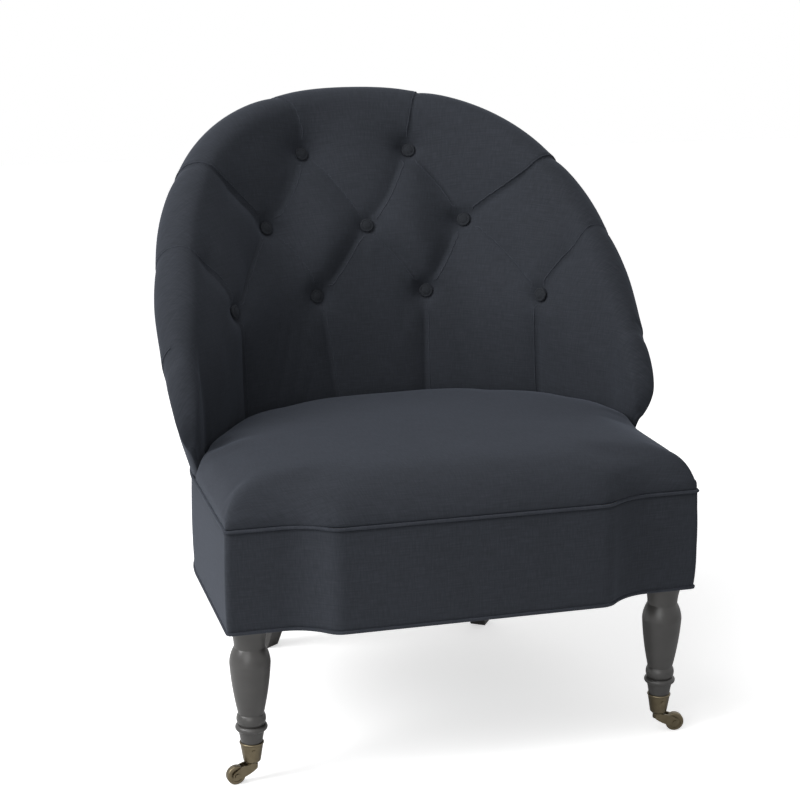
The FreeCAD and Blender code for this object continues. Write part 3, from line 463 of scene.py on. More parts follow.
def touch(point, centre, side):
    """Where a line from a point touches the roll."""
    away = point - centre
    turn = math.atan2(away[1], away[0]) + side * math.acos(ROLL / np.linalg.norm(away))
    return turn, centre + ROLL * np.array([math.cos(turn), math.sin(turn)])


def back_section(angle):
    """The outline at one angle, as rows of (distance, height)."""
    flat = min(abs(angle), WING_ANGLE)
    foot, belly_z, belly, shoulder_z, shoulder = [
        float(through(flat, BACK_PROFILES[:, 0], BACK_PROFILES[:, k])) for k in range(1, 6)
    ]
    side = math.copysign(flat, angle)
    top = float(rim_height(side))
    centre = np.array([outer_radius(side, top) + OVERHANG - ROLL, top - ROLL])
    inner_foot, inner_belly, inner_shoulder, outer_foot = [
        np.array([outer_radius(side, z) - thick, z])
        for thick, z in ((foot, SEAT_LINE), (belly, belly_z), (shoulder, shoulder_z), (0, SEAT_LINE))
    ]
    turn_in, touch_in = touch(inner_shoulder, centre, -1)
    turn_out, touch_out = touch(outer_foot, centre, 1)
    easing = min(34, np.linalg.norm(inner_shoulder - inner_belly) / 2)
    last_easing = min(easing, np.linalg.norm(touch_in - inner_shoulder) * 0.9)
    face = [inner_foot, *rounded(inner_foot, inner_belly, inner_shoulder, easing)]
    face += [*rounded(inner_belly, inner_shoulder, touch_in, last_easing), touch_in]
    turns = np.linspace(turn_in % (2 * math.pi), turn_out, ROLL_ROWS)
    roll = centre + ROLL * np.stack([np.cos(turns), np.sin(turns)], axis=1)
    hook_z = min(top - ROLL_DROP, touch_out[1] - 4)
    share = (touch_out[1] - hook_z) / (touch_out[1] - SEAT_LINE)
    hook = touch_out + (outer_foot - touch_out) * share
    behind = TUCK * ramp(abs(angle), PANEL_END + 0.8, PANEL_END)
    full = WING_FILL * ramp(abs(angle), 76, 84)
    hidden = [hook - (behind, 1), (hook + outer_foot) / 2 - (behind - full, 0), outer_foot - (behind, 0)]
    section = np.concatenate([
        spread_along(face, FACE_ROWS),
        roll[1:],
        spread_along([touch_out, hook], OUTER_ROWS)[1:],
        spread_along(hidden, HIDDEN_ROWS),
        spread_along([outer_foot - (behind, 0), inner_foot], FOOT_ROWS + 2)[1:-1],
    ])
    thinned = WING_THINNING * soft_ramp(abs(angle), 70, WING_ANGLE)
    section[:, 0] += np.maximum(outer_radius(side, section[:, 1]) - section[:, 0], 0) * thinned
    return section


# %% [markdown]
# Past the wing the sections close up and run forward, by a share of the way to the tip
# that depends on the height. So the wing's front edge goes down to the seat.

# %% Wing tips
# heights, and how far forward the front edge runs at each, as a share of the way to the tip
TIP_HEIGHTS = (360, 385, 400, 420, 440, 462, 480, 500)
TIP_REACH = (0.78, 0.76, 0.88, 1.05, 1.2, 1.2, 1.08, 0.95)
TIP_FOOT_INSET, TIP_ENDS = 9.0, 396.0


def drawn_in(section, angle):
    """A section past the wing, thinned towards the wing's front edge."""
    share = (abs(angle) - WING_ANGLE) / (TIP_ANGLE - WING_ANGLE)
    if share <= 0:
        return section
    taper = max(1 - min(share, 1) ** 1.6, 0.02) ** (1 / 1.6)
    radius, height = section[:, 0], section[:, 1]
    drawn_height = np.where(height > TIP_ENDS, TIP_ENDS + (height - TIP_ENDS) * taper, height)
    low = ramp(drawn_height, TIP_HEIGHT, SEAT_LINE)
    drawn_height = np.where(height > TIP_ENDS, drawn_height, height - 2.4 * low * min(share * 4, 1))
    middle = outer_radius(WING_ANGLE, np.minimum(drawn_height, TIP_HEIGHT)) + 2.0 - TIP_FOOT_INSET * low
    return np.stack([middle + (radius - middle) * taper ** 0.6, drawn_height], axis=1)


def front_angle(angle, height):
    """Past the wing, the angle of a point depends on its height too."""
    past = np.maximum(np.abs(angle) - WING_ANGLE, 0)
    return angle + np.sign(angle) * past * (np.interp(height, TIP_HEIGHTS, TIP_REACH) - 1)


past_wing = (TIP_ANGLE - WING_ANGLE) * np.sin(np.linspace(0, np.pi / 2, 13))
half = np.concatenate([np.linspace(0, WING_ANGLE, 80)[:-1], WING_ANGLE + past_wing])
BACK_ANGLES = np.concatenate([-half[:0:-1], half])
sections = [drawn_in(back_section(a), a) for a in BACK_ANGLES]
back_points = np.array([
    around(front_angle(a, s[:, 1]), s[:, 0], s[:, 1]) for a, s in zip(BACK_ANGLES, sections)
])
print("back grid:", back_points.shape[0], "sections of", back_points.shape[1], "points")

# %% [markdown]
# A buttoned back is stuffed first and then pulled in: a strong twine ties each button
# through to the lining, and the spare cloth between two buttons is folded into a pleat.
# So each pleat is a path over the finished face, from button to button, down to the seat
# or over the roll. Most paths bow a little, because the fold is pushed flat with a thumb
# towards the button below. The lap says how far one side of the fold stands above the
# other, in millimetres. Where it is more than nothing, the path's left side is the upper.

# %% Paths of the pleats
# the two tufts, how far the path bows, and its lap
PLEATS = [("a1", "b1", 7, 0.8), ("a1", "b2", 0, 0.1), ("a2", "b2", 9, 1.2), ("a2", "b3", 5, -1.1),
          ("b1", "c1", 5, 0.6), ("b1", "c2", 0, 0.1), ("b2", "c2", 5, 0.9), ("b2", "c3", 4, -0.9),
          ("b3", "c3", 9, 1.2), ("b3", "c4", 2, 0.3)]
# tuft, angle at the rim, bow, lap, and how late the path turns towards the rim
RIM_PLEATS = [("a1", -19.2, 3, -1.1, 2.0), ("a2", 16.4, -3, 1.4, 1.3), ("b1", -47.5, 0, -2.2, 1.0),
              ("b3", 47.6, 12, 2.6, 1.0), ("c1", -65.8, 0, -0.9, 1.5), ("c4", 65.0, 2, 0.9, 1.0)]
# tuft, by how many degrees the path turns on its way down, and its lap
SEAT_PLEATS = [("c1", 6.0, 0.6), ("c2", 3.3, 0.7), ("c3", 1.0, 0.9), ("c4", 0.0, -0.9)]
# the two small pleats over the wings: angle and lap
TIP_PLEATS = [(-82.3, -1.6), (82.3, 1.6)]
# how deep the valley along each pleat is, where it isn't full
SOFT_PLEATS = {("a1", "b2"): 0.35, ("b1", "c2"): 0.35, ("b3", "c4"): 0.45,
               ("b2", "c3"): 0.8, ("b1", "c1"): 0.8}


def on_face(angle, height):
    """The point of the inside face at an angle and a height."""
    section = back_section(angle)[:FACE_ROWS]
    return around(angle, np.interp(height, section[:, 1], section[:, 0]), height)


def on_row(angle, row):
    """The point at an angle and at a row of its section, which need not be whole."""
    section = back_section(angle)
    low = int(row)
    point = section[low] + (section[low + 1] - section[low]) * (row - low)
    return around(angle, point[0], point[1])


def rim_path(place, rim_angle, bow, late):
    """A path from a tuft over the roll, which it crosses squarely."""
    first = np.interp(place[1], back_section(place[0])[:FACE_ROWS, 1], np.arange(FACE_ROWS))
    t = np.linspace(0, 1, 34)
    on_the_way = np.minimum(t / 0.8, 1)
    angles = place[0] + (rim_angle - place[0]) * np.sin(np.pi / 2 * on_the_way) ** late
    angles = angles + np.degrees(bow / CLOTH_RADIUS) * np.sin(np.pi * on_the_way)
    return [on_row(a, row) for a, row in zip(angles, first + (LAST_SEEN - first) * t)]


def face_path(start, end, bow=0.0):
    """A path over the inside face between two (angle, height) places, bowed by so many mm."""
    t = np.linspace(0, 1, 14)
    arch = bow * np.sin(np.pi * t ** 1.3)
    angles = start[0] + (end[0] - start[0]) * t + np.degrees(arch / CLOTH_RADIUS)
    heights = start[1] + (end[1] - start[1]) * t
    return [on_face(a, z) for a, z in zip(angles, heights)]


def tuft_facing(angle, lean):
    """The way that a tuft's button faces."""
    axis = np.array([-math.sin(math.radians(angle)), -math.cos(math.radians(angle)), lean])
    return axis / np.linalg.norm(axis)


def tuft_place(angle, radius, height, lean):
    """Where a tuft's button is pulled in: angle and height on the face, and how deep."""
    pulled = np.linalg.norm(on_face(angle, height) - around(angle, radius, height))
    depth = pulled * math.cos(math.atan(lean))
    return angle, height + tuft_facing(angle, lean)[2] * depth, depth


PLACES = {name: tuft_place(*tuft) for name, tuft in TUFTS.items()}
SAMPLES = 170
# each pleat: its path, its lap, and how deep the valley along it is
pleats = [(face_path(PLACES[one], PLACES[other], bow), lap, SOFT_PLEATS.get((one, other), 1.0))
          for one, other, bow, lap in PLEATS]
pleats += [(rim_path(PLACES[tuft], rim_angle, bow, late), lap, 1.0)
           for tuft, rim_angle, bow, lap, late in RIM_PLEATS]
pleats += [(face_path(PLACES[tuft], (PLACES[tuft][0] + turn, SEAT_LINE + 6)), lap, 0.8)
           for tuft, turn, lap in SEAT_PLEATS]
pleats += [([on_row(angle, row) for row in np.linspace(FACE_ROWS + 12, LAST_SEEN, 20)], lap, 0.0)
           for angle, lap in TIP_PLEATS]
pleat_lines = [spread_along(path, SAMPLES) for path, lap, depth in pleats]
pleat_laps, pleat_depths = [np.array([pleat[k] for pleat in pleats]) for k in (1, 2)]
print(len(pleats), "pleats; buttons pulled in by", [round(place[2]) for place in PLACES.values()], "mm")

# %% [markdown]
# First comes the stuffed shape alone: a broad, shallow valley along each pleat and a
# deeper cup at each button. The valleys end where the roll begins, because over the roll
# the cloth is drawn tight and only the seam of the fold shows. Room is left for the
# swelling that follows.

# %% Valleys and cups
VALLEY_DEPTH, VALLEY_REACH = 6.0, 19.0
BUTTON_STANDS, CUP_FLOOR, CUP_REACH = 5.3, 10.0, 14.5
FULLNESS, FULLNESS_REACH = 3.0, 30.0
SWELLING_ROOM = 2.5


def nearest(points, samples):
    """Distance from each point to the nearest sample, and which sample that is."""
    tree = KDTree(len(samples))
    for i, sample in enumerate(samples):
        tree.insert(sample, i)
    tree.balance()
    found = [tree.find(p)[1:] for p in points]
    return np.array([f[1] for f in found]), np.array([f[0] for f in found])


def grid_normals(grid):
    along = np.gradient(grid, axis=1)
    across = np.gradient(grid, axis=0)
    normal = np.cross(across, along)
    return normal / np.maximum(np.linalg.norm(normal, axis=2, keepdims=True), 1e-9)


flat_points = back_points.reshape(-1, 3)
back_columns = back_points.shape[1]
column = np.tile(np.arange(back_columns), len(BACK_ANGLES))
side_angle = np.abs(np.repeat(BACK_ANGLES, back_columns))
pleat_samples = np.concatenate(pleat_lines)
tuft_centres = np.array([on_face(angle, height) for angle, height, depth in PLACES.values()])
cup_depths = np.array([depth + BUTTON_STANDS for angle, height, depth in PLACES.values()])
to_pleat, sample = nearest(flat_points, pleat_samples)
to_tuft, tuft = nearest(flat_points, tuft_centres)
on_the_face = soft_ramp(column, FACE_ROWS - 2, FACE_ROWS - 14)
depth_here = np.repeat(pleat_depths, SAMPLES)[sample]
valley = VALLEY_DEPTH * depth_here * np.exp(-(to_pleat / VALLEY_REACH) ** 2) * (0.08 + 0.92 * on_the_face)
cup = cup_depths[tuft] * np.exp(-np.maximum(to_tuft - CUP_FLOOR, 0) / CUP_REACH)
dent = (valley ** 3 + cup ** 3) ** (1 / 3)
shown = column <= LAST_SEEN
inward = ramp(side_angle, WING_ANGLE, WING_ANGLE - 12)
fullness = FULLNESS * (1 - np.exp(-to_pleat / FULLNESS_REACH)) * inward
move = np.where(shown, fullness - dent - SWELLING_ROOM * on_the_face * inward, 0)
normals = grid_normals(back_points).reshape(-1, 3)
stuffed = flat_points + normals * move[:, None]
print("deepest cup", round(float(dent.max()), 1), "mm")

# %% [markdown]
# Measured along the cloth, each grid line gives the UV map: round the tub one way, up the
# face the other. The mesh is closed along its sections and capped at each wing tip.

# %% Mesh of the back
round_tub = np.repeat(np.radians(BACK_ANGLES) * CLOTH_RADIUS, back_columns)
back_grid = stuffed.reshape(back_points.shape)
up_face = lengths_along(back_points)
padded_back = cloth_piece("padded_back", back_grid, round_tub, up_face, close_columns=True)
print("back before stuffing:", len(padded_back.data.vertices), "points")

# %% [markdown]
# Then the stuffing pushes out. Blender's cloth solver blows each padded piece up from the
# inside, with no gravity, while the buttons, the bottoms of the pleats and every tacked
# edge are held. What is between them swells by a few millimetres and finds its own soft
# creases, as cloth over horsehair does. How far a point may move is capped, and the
# result is kept as a plain mesh.

# %% Stuffing
PRESSURE, FRAMES = 4.0, 20


def swell(piece, held, cap_mm):
    """Blows a piece up against what holds it, and keeps the new shape."""
    start = positions(piece.data)
    group = piece.vertex_groups.new(name="held")
    levels = np.round(np.clip(held, 0, 1) * 10) / 10
    for level in np.unique(levels):
        if level > 0:
            group.add(np.flatnonzero(levels == level).tolist(), float(level), "REPLACE")
    cloth = piece.modifiers.new("stuffing", "CLOTH")
    cloth.settings.effector_weights.gravity = 0.0
    choices = {
        "quality": 5, "mass": 0.3, "tension_stiffness": 12, "compression_stiffness": 12,
        "shear_stiffness": 6, "bending_stiffness": 1.5, "vertex_group_mass": "held",
        "use_pressure": True, "uniform_pressure_force": PRESSURE,
    }
    for key, value in choices.items():
        setattr(cloth.settings, key, value)
    cloth.collision_settings.use_collision = False
    cloth.point_cache.frame_end = FRAMES
    for frame in range(1, FRAMES + 1):
        bpy.context.scene.frame_set(frame)
    baked(piece)
    bpy.context.scene.frame_set(1)
    travel = positions(piece.data) - start
    length = np.linalg.norm(travel, axis=1)
    travel *= (cap_mm * np.tanh(length / cap_mm) / np.maximum(length, 1e-6))[:, None]
    place_all(piece.data, start + travel)
    piece.vertex_groups.clear()
    print(piece.name, "swelled by up to", round(float(np.linalg.norm(travel, axis=1).max()), 1), "mm")


held = np.maximum.reduce([
    np.exp(-(to_pleat / 4) ** 2), to_tuft < 13, ~shown, column < 6,
    np.minimum(ramp(column, FACE_ROWS - 8, FACE_ROWS + 2), 0.8), ramp(side_angle, 80, 84),
])
swell(padded_back, held, 7.0)
subdivided(padded_back)

# %% [markdown]
# Last come the folds themselves. On one side of its path the cloth lies a millimetre or so
# higher than on the other, and between them runs a crease. The step is too fine for the
# mesh, so Geometry Nodes also sweep the rounded edge of the upper cloth along each path,
# half sunk in the surface.

# %% Folds
LAP_WIDTH, LAP_REACH = 1.6, 9.0
CREASE_DEPTH, CREASE_WIDTH = 1.3, 2.2
back_now = positions(padded_back.data)
facing_out = np.empty(len(back_now) * 3)
padded_back.data.vertex_normals.foreach_get("vector", facing_out)
facing_out = facing_out.reshape(-1, 3)
tangents = np.concatenate([np.gradient(line, axis=0) for line in pleat_lines])
tangents /= np.linalg.norm(tangents, axis=1, keepdims=True)
laps = np.repeat(pleat_laps, SAMPLES)
to_fold, sample = nearest(back_now, pleat_samples)
offset = back_now - pleat_samples[sample]
offset -= facing_out * np.sum(offset * facing_out, axis=1, keepdims=True)
across = np.cross(facing_out, tangents[sample])
signed = np.sum(offset * across, axis=1)
apart = np.linalg.norm(offset, axis=1)
near = (to_fold < 40) * np.exp(-(np.maximum(apart - np.abs(signed), 0) / 3) ** 2)
step = laps[sample] * np.tanh(signed / LAP_WIDTH) * np.exp(-np.abs(signed) / LAP_REACH) * near
crease = CREASE_DEPTH * np.exp(-(signed / CREASE_WIDTH) ** 2) * near
place_all(padded_back.data, back_now + facing_out * (step - crease)[:, None])
worn_by_chair(padded_back, "cover_cloth", "back_pad", cloth=cover_cloth)

# %% [markdown]
# Two jobs are left to Geometry Nodes, which the pieces below share: putting copies of a
# small object on points, and sweeping a cord along a line.

# %% Helpers for Geometry Nodes


def piece_tree(name, setting, value):
    """A Geometry Nodes tree from geometry to geometry, with one named setting."""
    tree = bpy.data.node_groups.new(name, "GeometryNodeTree")
    tree.interface.new_socket("Geometry", in_out="INPUT", socket_type="NodeSocketGeometry")
    socket = tree.interface.new_socket(setting, in_out="INPUT", socket_type="NodeSocketFloat")
    socket.default_value = value
    tree.interface.new_socket("Geometry", in_out="OUTPUT", socket_type="NodeSocketGeometry")
    return tree, add_node(tree, "NodeGroupInput"), socket.identifier


def run_tree(piece, tree, key, value):
    """Runs a tree on a piece with its setting at a value, and bakes it."""
    modifier = piece.modifiers.new(tree.name, "NODES")
    modifier.node_group = tree
    modifier[key] = value
    baked(piece)


def put_copies(piece, unit, material, directions):
    """Puts a copy of a small object on every point, turned to the point's own direction."""
    facing = piece.data.attributes.new("facing", "FLOAT_VECTOR", "POINT")
    facing.data.foreach_set("vector", np.asarray(directions, dtype=np.float32).ravel())
    tree, entry, size = piece_tree("put_copies", "Size", 1.0)
    facing = add_node(tree, "GeometryNodeInputNamedAttribute", data_type="FLOAT_VECTOR", Name="facing")
    turn = add_node(tree, "FunctionNodeAlignRotationToVector", {"Vector": facing.outputs[0]}, axis="Z")
    source = add_node(tree, "GeometryNodeObjectInfo", transform_space="ORIGINAL")
    source.inputs["Object"].default_value = unit
    copies = add_node(tree, "GeometryNodeInstanceOnPoints", {
        "Points": entry.outputs[0], "Instance": source.outputs["Geometry"],
        "Rotation": turn.outputs[0], "Scale": entry.outputs["Size"],
    })
    real = add_node(tree, "GeometryNodeRealizeInstances", {"Geometry": copies.outputs[0]})
    finish = add_node(tree, "GeometryNodeSetMaterial", {"Geometry": real.outputs[0]}, Material=material)
    add_node(tree, "NodeGroupOutput", {0: finish.outputs[0]})
    run_tree(piece, tree, size, 1.0)
    bpy.data.objects.remove(unit)


def sweep_tree(material):
    """Sweeps a circle along a line."""
    tree, entry, radius = piece_tree("sweep_cord", "Cord Radius", 0.0035)
    line = add_node(tree, "GeometryNodeMeshToCurve", {"Mesh": entry.outputs[0]})
    sides = {"Radius": entry.outputs["Cord Radius"]}
    ring = add_node(tree, "GeometryNodeCurvePrimitiveCircle", sides, Resolution=12)
    sides = {"Curve": line.outputs[0], "Profile Curve": ring.outputs[0]}
    cord = add_node(tree, "GeometryNodeCurveToMesh", sides, Fill_Caps=True)
    smooth = add_node(tree, "GeometryNodeSetShadeSmooth", {0: cord.outputs[0]})
    finish = add_node(tree, "GeometryNodeSetMaterial", {"Geometry": smooth.outputs[0]}, Material=material)
    add_node(tree, "NodeGroupOutput", {0: finish.outputs[0]})
    return tree, radius


# %% [markdown]
# The buttons are metal shells covered in the same cloth, 20 mm across, drawn in a darker
# copy of it that paints the shade of the pits they sit in. The cloth is pinched between the
# shell's cap and its rim, which leaves a faint ring near the edge. One button is drawn, and
# repeated on nine points that carry the way each one faces.

# %% Buttons


def turned_mesh(name, profile, sides):
    """A shape turned about Z from (radius, height) steps, closed flat at both ends."""
    turns = np.linspace(0, 2 * np.pi, sides, endpoint=False)
    points = [(r * math.cos(t), r * math.sin(t), z) for r, z in profile for t in turns]
    last = (len(profile) - 1) * sides
    faces = grid_faces(len(profile), sides, close_columns=True, flip=True)
    faces += [tuple(range(sides))[::-1], tuple(range(last, last + sides))]
    return object_from(name, points, faces, [point[:2] for point in points])


button_profile = [(8.6, -6.5), (9.9, -5.0), (10.4, -3.6), (10.2, -2.4), (9.4, -1.5), (8.4, -1.2),
                  (7.5, -1.6), (6.8, -1.5), (6.0, -0.9), (4.0, -0.3), (1.0, 0.0)]
button_points = object_from("buttons", [around(a, r, z) for a, r, z, lean in TUFTS.values()])
directions = [tuft_facing(a, lean) for a, r, z, lean in TUFTS.values()]
put_copies(button_points, turned_mesh("button_unit", button_profile, 32), button_cloth, directions)
worn_by_chair(button_points, "cover_cloth", "upper_buttons", "middle_buttons", "lower_buttons")

# %% [markdown]
# The plan of the base is needed for its border, its piping and the cloth under it.
# From above it has square front corners and a shallow breakfront, whose ends swing
# back in an S on each side, and behind it follows the tub.

# %% Plan of the base
# the share of the S that is its round-over
ROUND_OVER = 0.26


def cavetto(start, end):
    """A short round-over and then a long hollow, as two arcs that leave and arrive along X."""
    joint = end + (start - end) * (1 - ROUND_OVER)
    slope = math.atan2(abs(end[1] - start[1]), abs(end[0] - start[0]))
    bulge = np.linspace(-slope, slope, 13)[:, None]
    runs = []
    for first, last, side in ((start, joint, 1), (joint, end, -1)):
        chord = last - first
        length = np.linalg.norm(chord)
        radius = length / 2 / math.sin(slope)
        square = np.array([chord[1], -chord[0]]) / length * side
        middle = (first + last) / 2 - square * radius * math.cos(slope)
        runs.append(middle + radius * (np.sin(bulge) * chord / length + np.cos(bulge) * square))
    return np.concatenate([runs[0], runs[1][1:]])


def stand_at(x, blur):
    """The share of the breakfront's stand at x, its edges softened over so many mm."""
    inner, outer = BREAKFRONT_ENDS
    curve = cavetto(np.array([inner, -1.0]), np.array([outer, 0.0]))
    nearby = np.linspace(-2, 2, 17)
    weights = np.exp(-nearby ** 2 / 2)
    spread = np.abs(x[:, None] + blur * nearby)
    return -(np.interp(spread, curve[:, 0], curve[:, 1]) * weights).sum(axis=1) / weights.sum()


def corner_bend(wide, face, radius, count):
    """The rounded front corner of a plan, from the front to the side."""
    turns = np.radians(np.linspace(-90, 0, count))
    arc = np.stack([np.cos(turns), np.sin(turns)], axis=1)
    return np.array([wide - radius, face + radius]) + radius * arc


def base_ring(height, inset, count=520):
    """The whole outline of the base at one height, evenly spread."""
    stand = BREAKFRONT + BREAKFRONT_GAIN * (WELT - height) / (WELT - HEM)
    wide, face = HALF_WIDTH - inset, FRONT + inset
    inner, outer = BREAKFRONT_ENDS
    curve = cavetto(np.array([inner, face - stand]), np.array([outer, face]))
    right = np.concatenate([[(0, face - stand)], curve, corner_bend(wide, face, 5.0, 9), [(wide, TUB_Y)]])
    angles = np.linspace(90, -90, 121)[1:-1]
    rear = on_outside(angles, height, -inset)[:, :2]
    ring = np.concatenate([right, rear, right[::-1] * (-1, 1)])
    return np.column_stack([spread_along(ring, count + 1)[:-1], np.full(count, height)])


print("base outline is", round(float(lengths_along(base_ring(300.0, 0.0))[-1])), "mm round")

# %% [markdown]
# The border of the base is cloth over a thin layer of wadding on the seat rails. It is
# made as rings from the hem up to the piping, and stands out by about two millimetres
# between its two sewn edges.

# %% Border of the base
BORDER_LEVELS, BORDER_STAND, BORDER_SWELL, BORDER_DEPTH = (HEM + 4.2, WELT - 1.6), 0.5, 1.9, 5.0
levels = np.linspace(*BORDER_LEVELS, 28)
shares = (levels - levels[0]) / (levels[-1] - levels[0])
insets = [-BORDER_STAND - BORDER_SWELL * math.sin(math.pi * share ** 0.8) ** 0.8 for share in shares]
rings = [base_ring(level, inset) for level, inset in zip(levels, insets)]
rings += [base_ring(level, BORDER_DEPTH) for level in levels[::-1]]
border_grid = np.array(rings)
along_hem = np.tile(lengths_along(border_grid[0]), len(border_grid))
closing = {"close_rows": True, "close_columns": True, "flip": True}
base_border = cloth_piece("base_border", border_grid, along_hem, border_grid[:, :, 2], **closing)
nodes = ["front_border", "left_border", "right_border", "rear_border"]
worn_by_chair(base_border, "cover_cloth", *nodes, cloth=cover_cloth)

# %% [markdown]
# Piping is a cord in a strip of the same cloth, sewn into a seam. Its cloth is drawn a
# little lighter than the cover, which paints the highlight along the cord's top. Two of its
# paths are closed lines round the chair, and the third runs under the roll from wing to wing.

# %% Piping
# a lighter copy of the cover cloth: a painted highlight on every cord that it is swept onto
piping_cloth = make_cloth("bias_cut_piping_painted_highlight", "#26292f", "#34373e", 0.26, source="Object")
sweep, radius_socket = sweep_tree(piping_cloth)


def piped(name, paths, radius, closed, *nodes):
    """Cord of one radius along each path, each one closed or open."""
    edges, first = [], 0
    for path in paths:
        edges += [(i, i + 1) for i in range(first, first + len(path) - 1)]
        edges += [(first + len(path) - 1, first)] * closed
        first += len(path)
    cord = object_from(name, np.concatenate(paths), edges=edges)
    run_tree(cord, sweep, radius_socket, radius / 1000)
    worn_by_chair(cord, "piping_cloth", *nodes)


piped("seat_welt", [base_ring(WELT + 0.4, -0.9)], 2.2, True, "seat_piping", "rear_seat_piping")
piped("hem_welt", [base_ring(HEM + 2.6, -0.6)], 2.3, True, "hem_piping", "rear_hem_piping")
roll_angles = np.linspace(-PANEL_END, PANEL_END, 240)
roll_z = rim_height(roll_angles) - ROLL_DROP - 3.3
piped("roll_welt", [on_outside(roll_angles, roll_z, 2.6)], 2.9, False, "back_piping")

# %% [markdown]
# The same sweep lays the rounded edge of each pleat along its path, on the side that is
# the upper one, and so deep in the cover that only its back shows. Its rounded form catches
# real light, and the lighter piping cloth that it carries adds a painted highlight along the fold.

# %% Edges of the pleats
EDGE_RADIUS, EDGE_SIDE, EDGE_SUNK = 1.0, 1.3, 0.6
cover_tree = BVHTree.FromObject(padded_back, bpy.context.evaluated_depsgraph_get())
folds = []
for line, lap in zip(pleat_lines, pleat_laps):
    run = np.gradient(line, axis=0)
    clear = np.linalg.norm(line[:, None] - tuft_centres[None], axis=2).min(axis=1) > 12
    fold = []
    for i in np.flatnonzero(clear)[::2]:
        spot, normal = cover_tree.find_nearest(Vector(line[i] / 1000))[:2]
        side = np.cross(normal, run[i])
        side *= math.copysign(1, lap) / np.linalg.norm(side)
        lift = 0.3 * abs(lap) - EDGE_SUNK
        fold.append(np.array(spot) * 1000 + side * EDGE_SIDE + np.array(normal) * lift)
    folds.append(spread_along(fold, 60))
# these edges take the lighter piping cloth, which paints a highlight along each fold
piped("pleat_edges", folds, EDGE_RADIUS, False)

# %% [markdown]
# The outside of the back is a plain panel, tacked under the roll and pulled down over the
# slats. It bows in by a millimetre or two between its edges.

# %% Outside panel
# where its lower edge is, how thick it is, and how far it bows in
PANEL_FOOT, PANEL_THICK, PANEL_BOW = SEAT_LINE - 3.2, 2.8, 2.2
panel_angles = np.linspace(-PANEL_END, PANEL_END, 190)
shares = np.linspace(0, 1, 60)
rows = []
for angle in panel_angles:
    z = PANEL_FOOT + (float(rim_height(angle)) - ROLL_DROP - 0.5 - PANEL_FOOT) * shares
    bow = PANEL_BOW * np.sin(np.pi * shares) * (0.6 + 0.4 * math.cos(math.radians(angle * 10)))
    outer, inner = [on_outside(angle, z, -depth - bow) for depth in (0.0, PANEL_THICK)]
    rows.append(np.concatenate([outer, inner[::-1]]))
panel_grid = np.array(rows)
round_panel = np.repeat(np.radians(panel_angles) * CLOTH_RADIUS, panel_grid.shape[1])
closing = {"close_columns": True, "flip": True}
outside_panel = cloth_piece("outside_panel", panel_grid, round_panel, panel_grid[:, :, 2], **closing)
worn_by_chair(outside_panel, "cover_cloth", "outside_back", cloth=cover_cloth)

# %% [markdown]
# The seat is a tight pad over springs: upright for a few millimetres above the piping,
# a full round edge, and a crown that is highest in the middle. Each of its outlines has
# the breakfront, which fades towards the middle, and leans on the back's inside face.

# %% Outlines of the seat
SEAT_ROUND, SEAT_UPRIGHT, SEAT_TOP = 43.0, 11.0, 415.5
SEAT_RINGS, SEAT_START = 54, -0.3
SIDE_END = TUB_Y - 3
rear_angles = np.linspace(88, -88, 121)
rear_sections = [drawn_in(back_section(a), a)[:FACE_ROWS] for a in rear_angles]


def seat_outline(inset, height, steps):
    """The seat's outline at one inset: four runs of even steps, from the front left corner."""
    fade = max(1 - inset / 80, 0) ** 1.3
    wide, face, corner = HALF_WIDTH - inset, FRONT + inset, 5 + inset * 0.8
    straight = np.column_stack([np.linspace(0, wide - corner, 90)[:-1], np.full(89, face)])
    right = np.concatenate([straight, corner_bend(wide, face, corner, 13)])
    right[:, 1] -= BREAKFRONT * fade * stand_at(right[:, 0], 4 + inset * 1.6)
    reach = [float(np.interp(height, s[:, 1], s[:, 0])) for s in rear_sections]
    rear = around(rear_angles, np.array(reach) - 0.8 - max(inset - 30, 0), height)[:, :2]
    middle = len(right) - 7
    side = np.concatenate([right[middle:], [(wide, SIDE_END)], rear[:1]])
    front = np.concatenate([right[middle::-1] * (-1, 1), right[1:middle + 1]])
    runs = [front, side, rear, side[::-1] * (-1, 1)]
    ring = np.concatenate([spread_along(run, steps + 1)[:-1] for run in runs])
    return np.column_stack([ring, np.full(len(ring), height)])


def ring_cells(k):
    """The cells of ring k of a square grid, in the order of the outline's points."""
    along = np.arange(-k, k)
    return np.concatenate([
        np.column_stack([along, np.full(2 * k, -k)]), np.column_stack([np.full(2 * k, k), along]),
        np.column_stack([-along, np.full(2 * k, k)]), np.column_stack([np.full(2 * k, -k), -along]),
    ])


def eased(grid, reach, times):
    """The grid with its inner rings smoothed: each point moves to the middle of its neighbours."""
    inner = slice(SEAT_RINGS - reach, SEAT_RINGS + reach + 1)
    same = slice(inner.start - 1, inner.stop - 1)
    for step in range(times):
        mean = (grid[:-2, 1:-1] + grid[2:, 1:-1] + grid[1:-1, :-2] + grid[1:-1, 2:]) / 4
        grid[inner, inner] = mean[same, same]
    return grid


# %% [markdown]
# The seat's mesh is a square grid pulled into these outlines: ring by ring from the
# middle, each ring of the grid takes one outline, and the corners of the square go to the
# corners of the seat. Where the back presses on it, the seat lies a little lower or higher.

# %% Grid of the seat
CROWN_POWER, CROWN_START = 2.2, 0.14
# how far the rear of the seat lies below an even crown, or above it, by the angle round the tub
SINK_ANGLES = (-90, -80, -68, -58, -45, -30, -15, 0, 17, 27, 45, 57, 69, 90)
SINK_DEPTHS = (1, 6, 4, 1.5, 3, 5, 7, 7.6, 4.2, 2.4, 0, -5, -7.5, -6)
SINK_REACH, SINK_POWER = (110, 240), 1.5
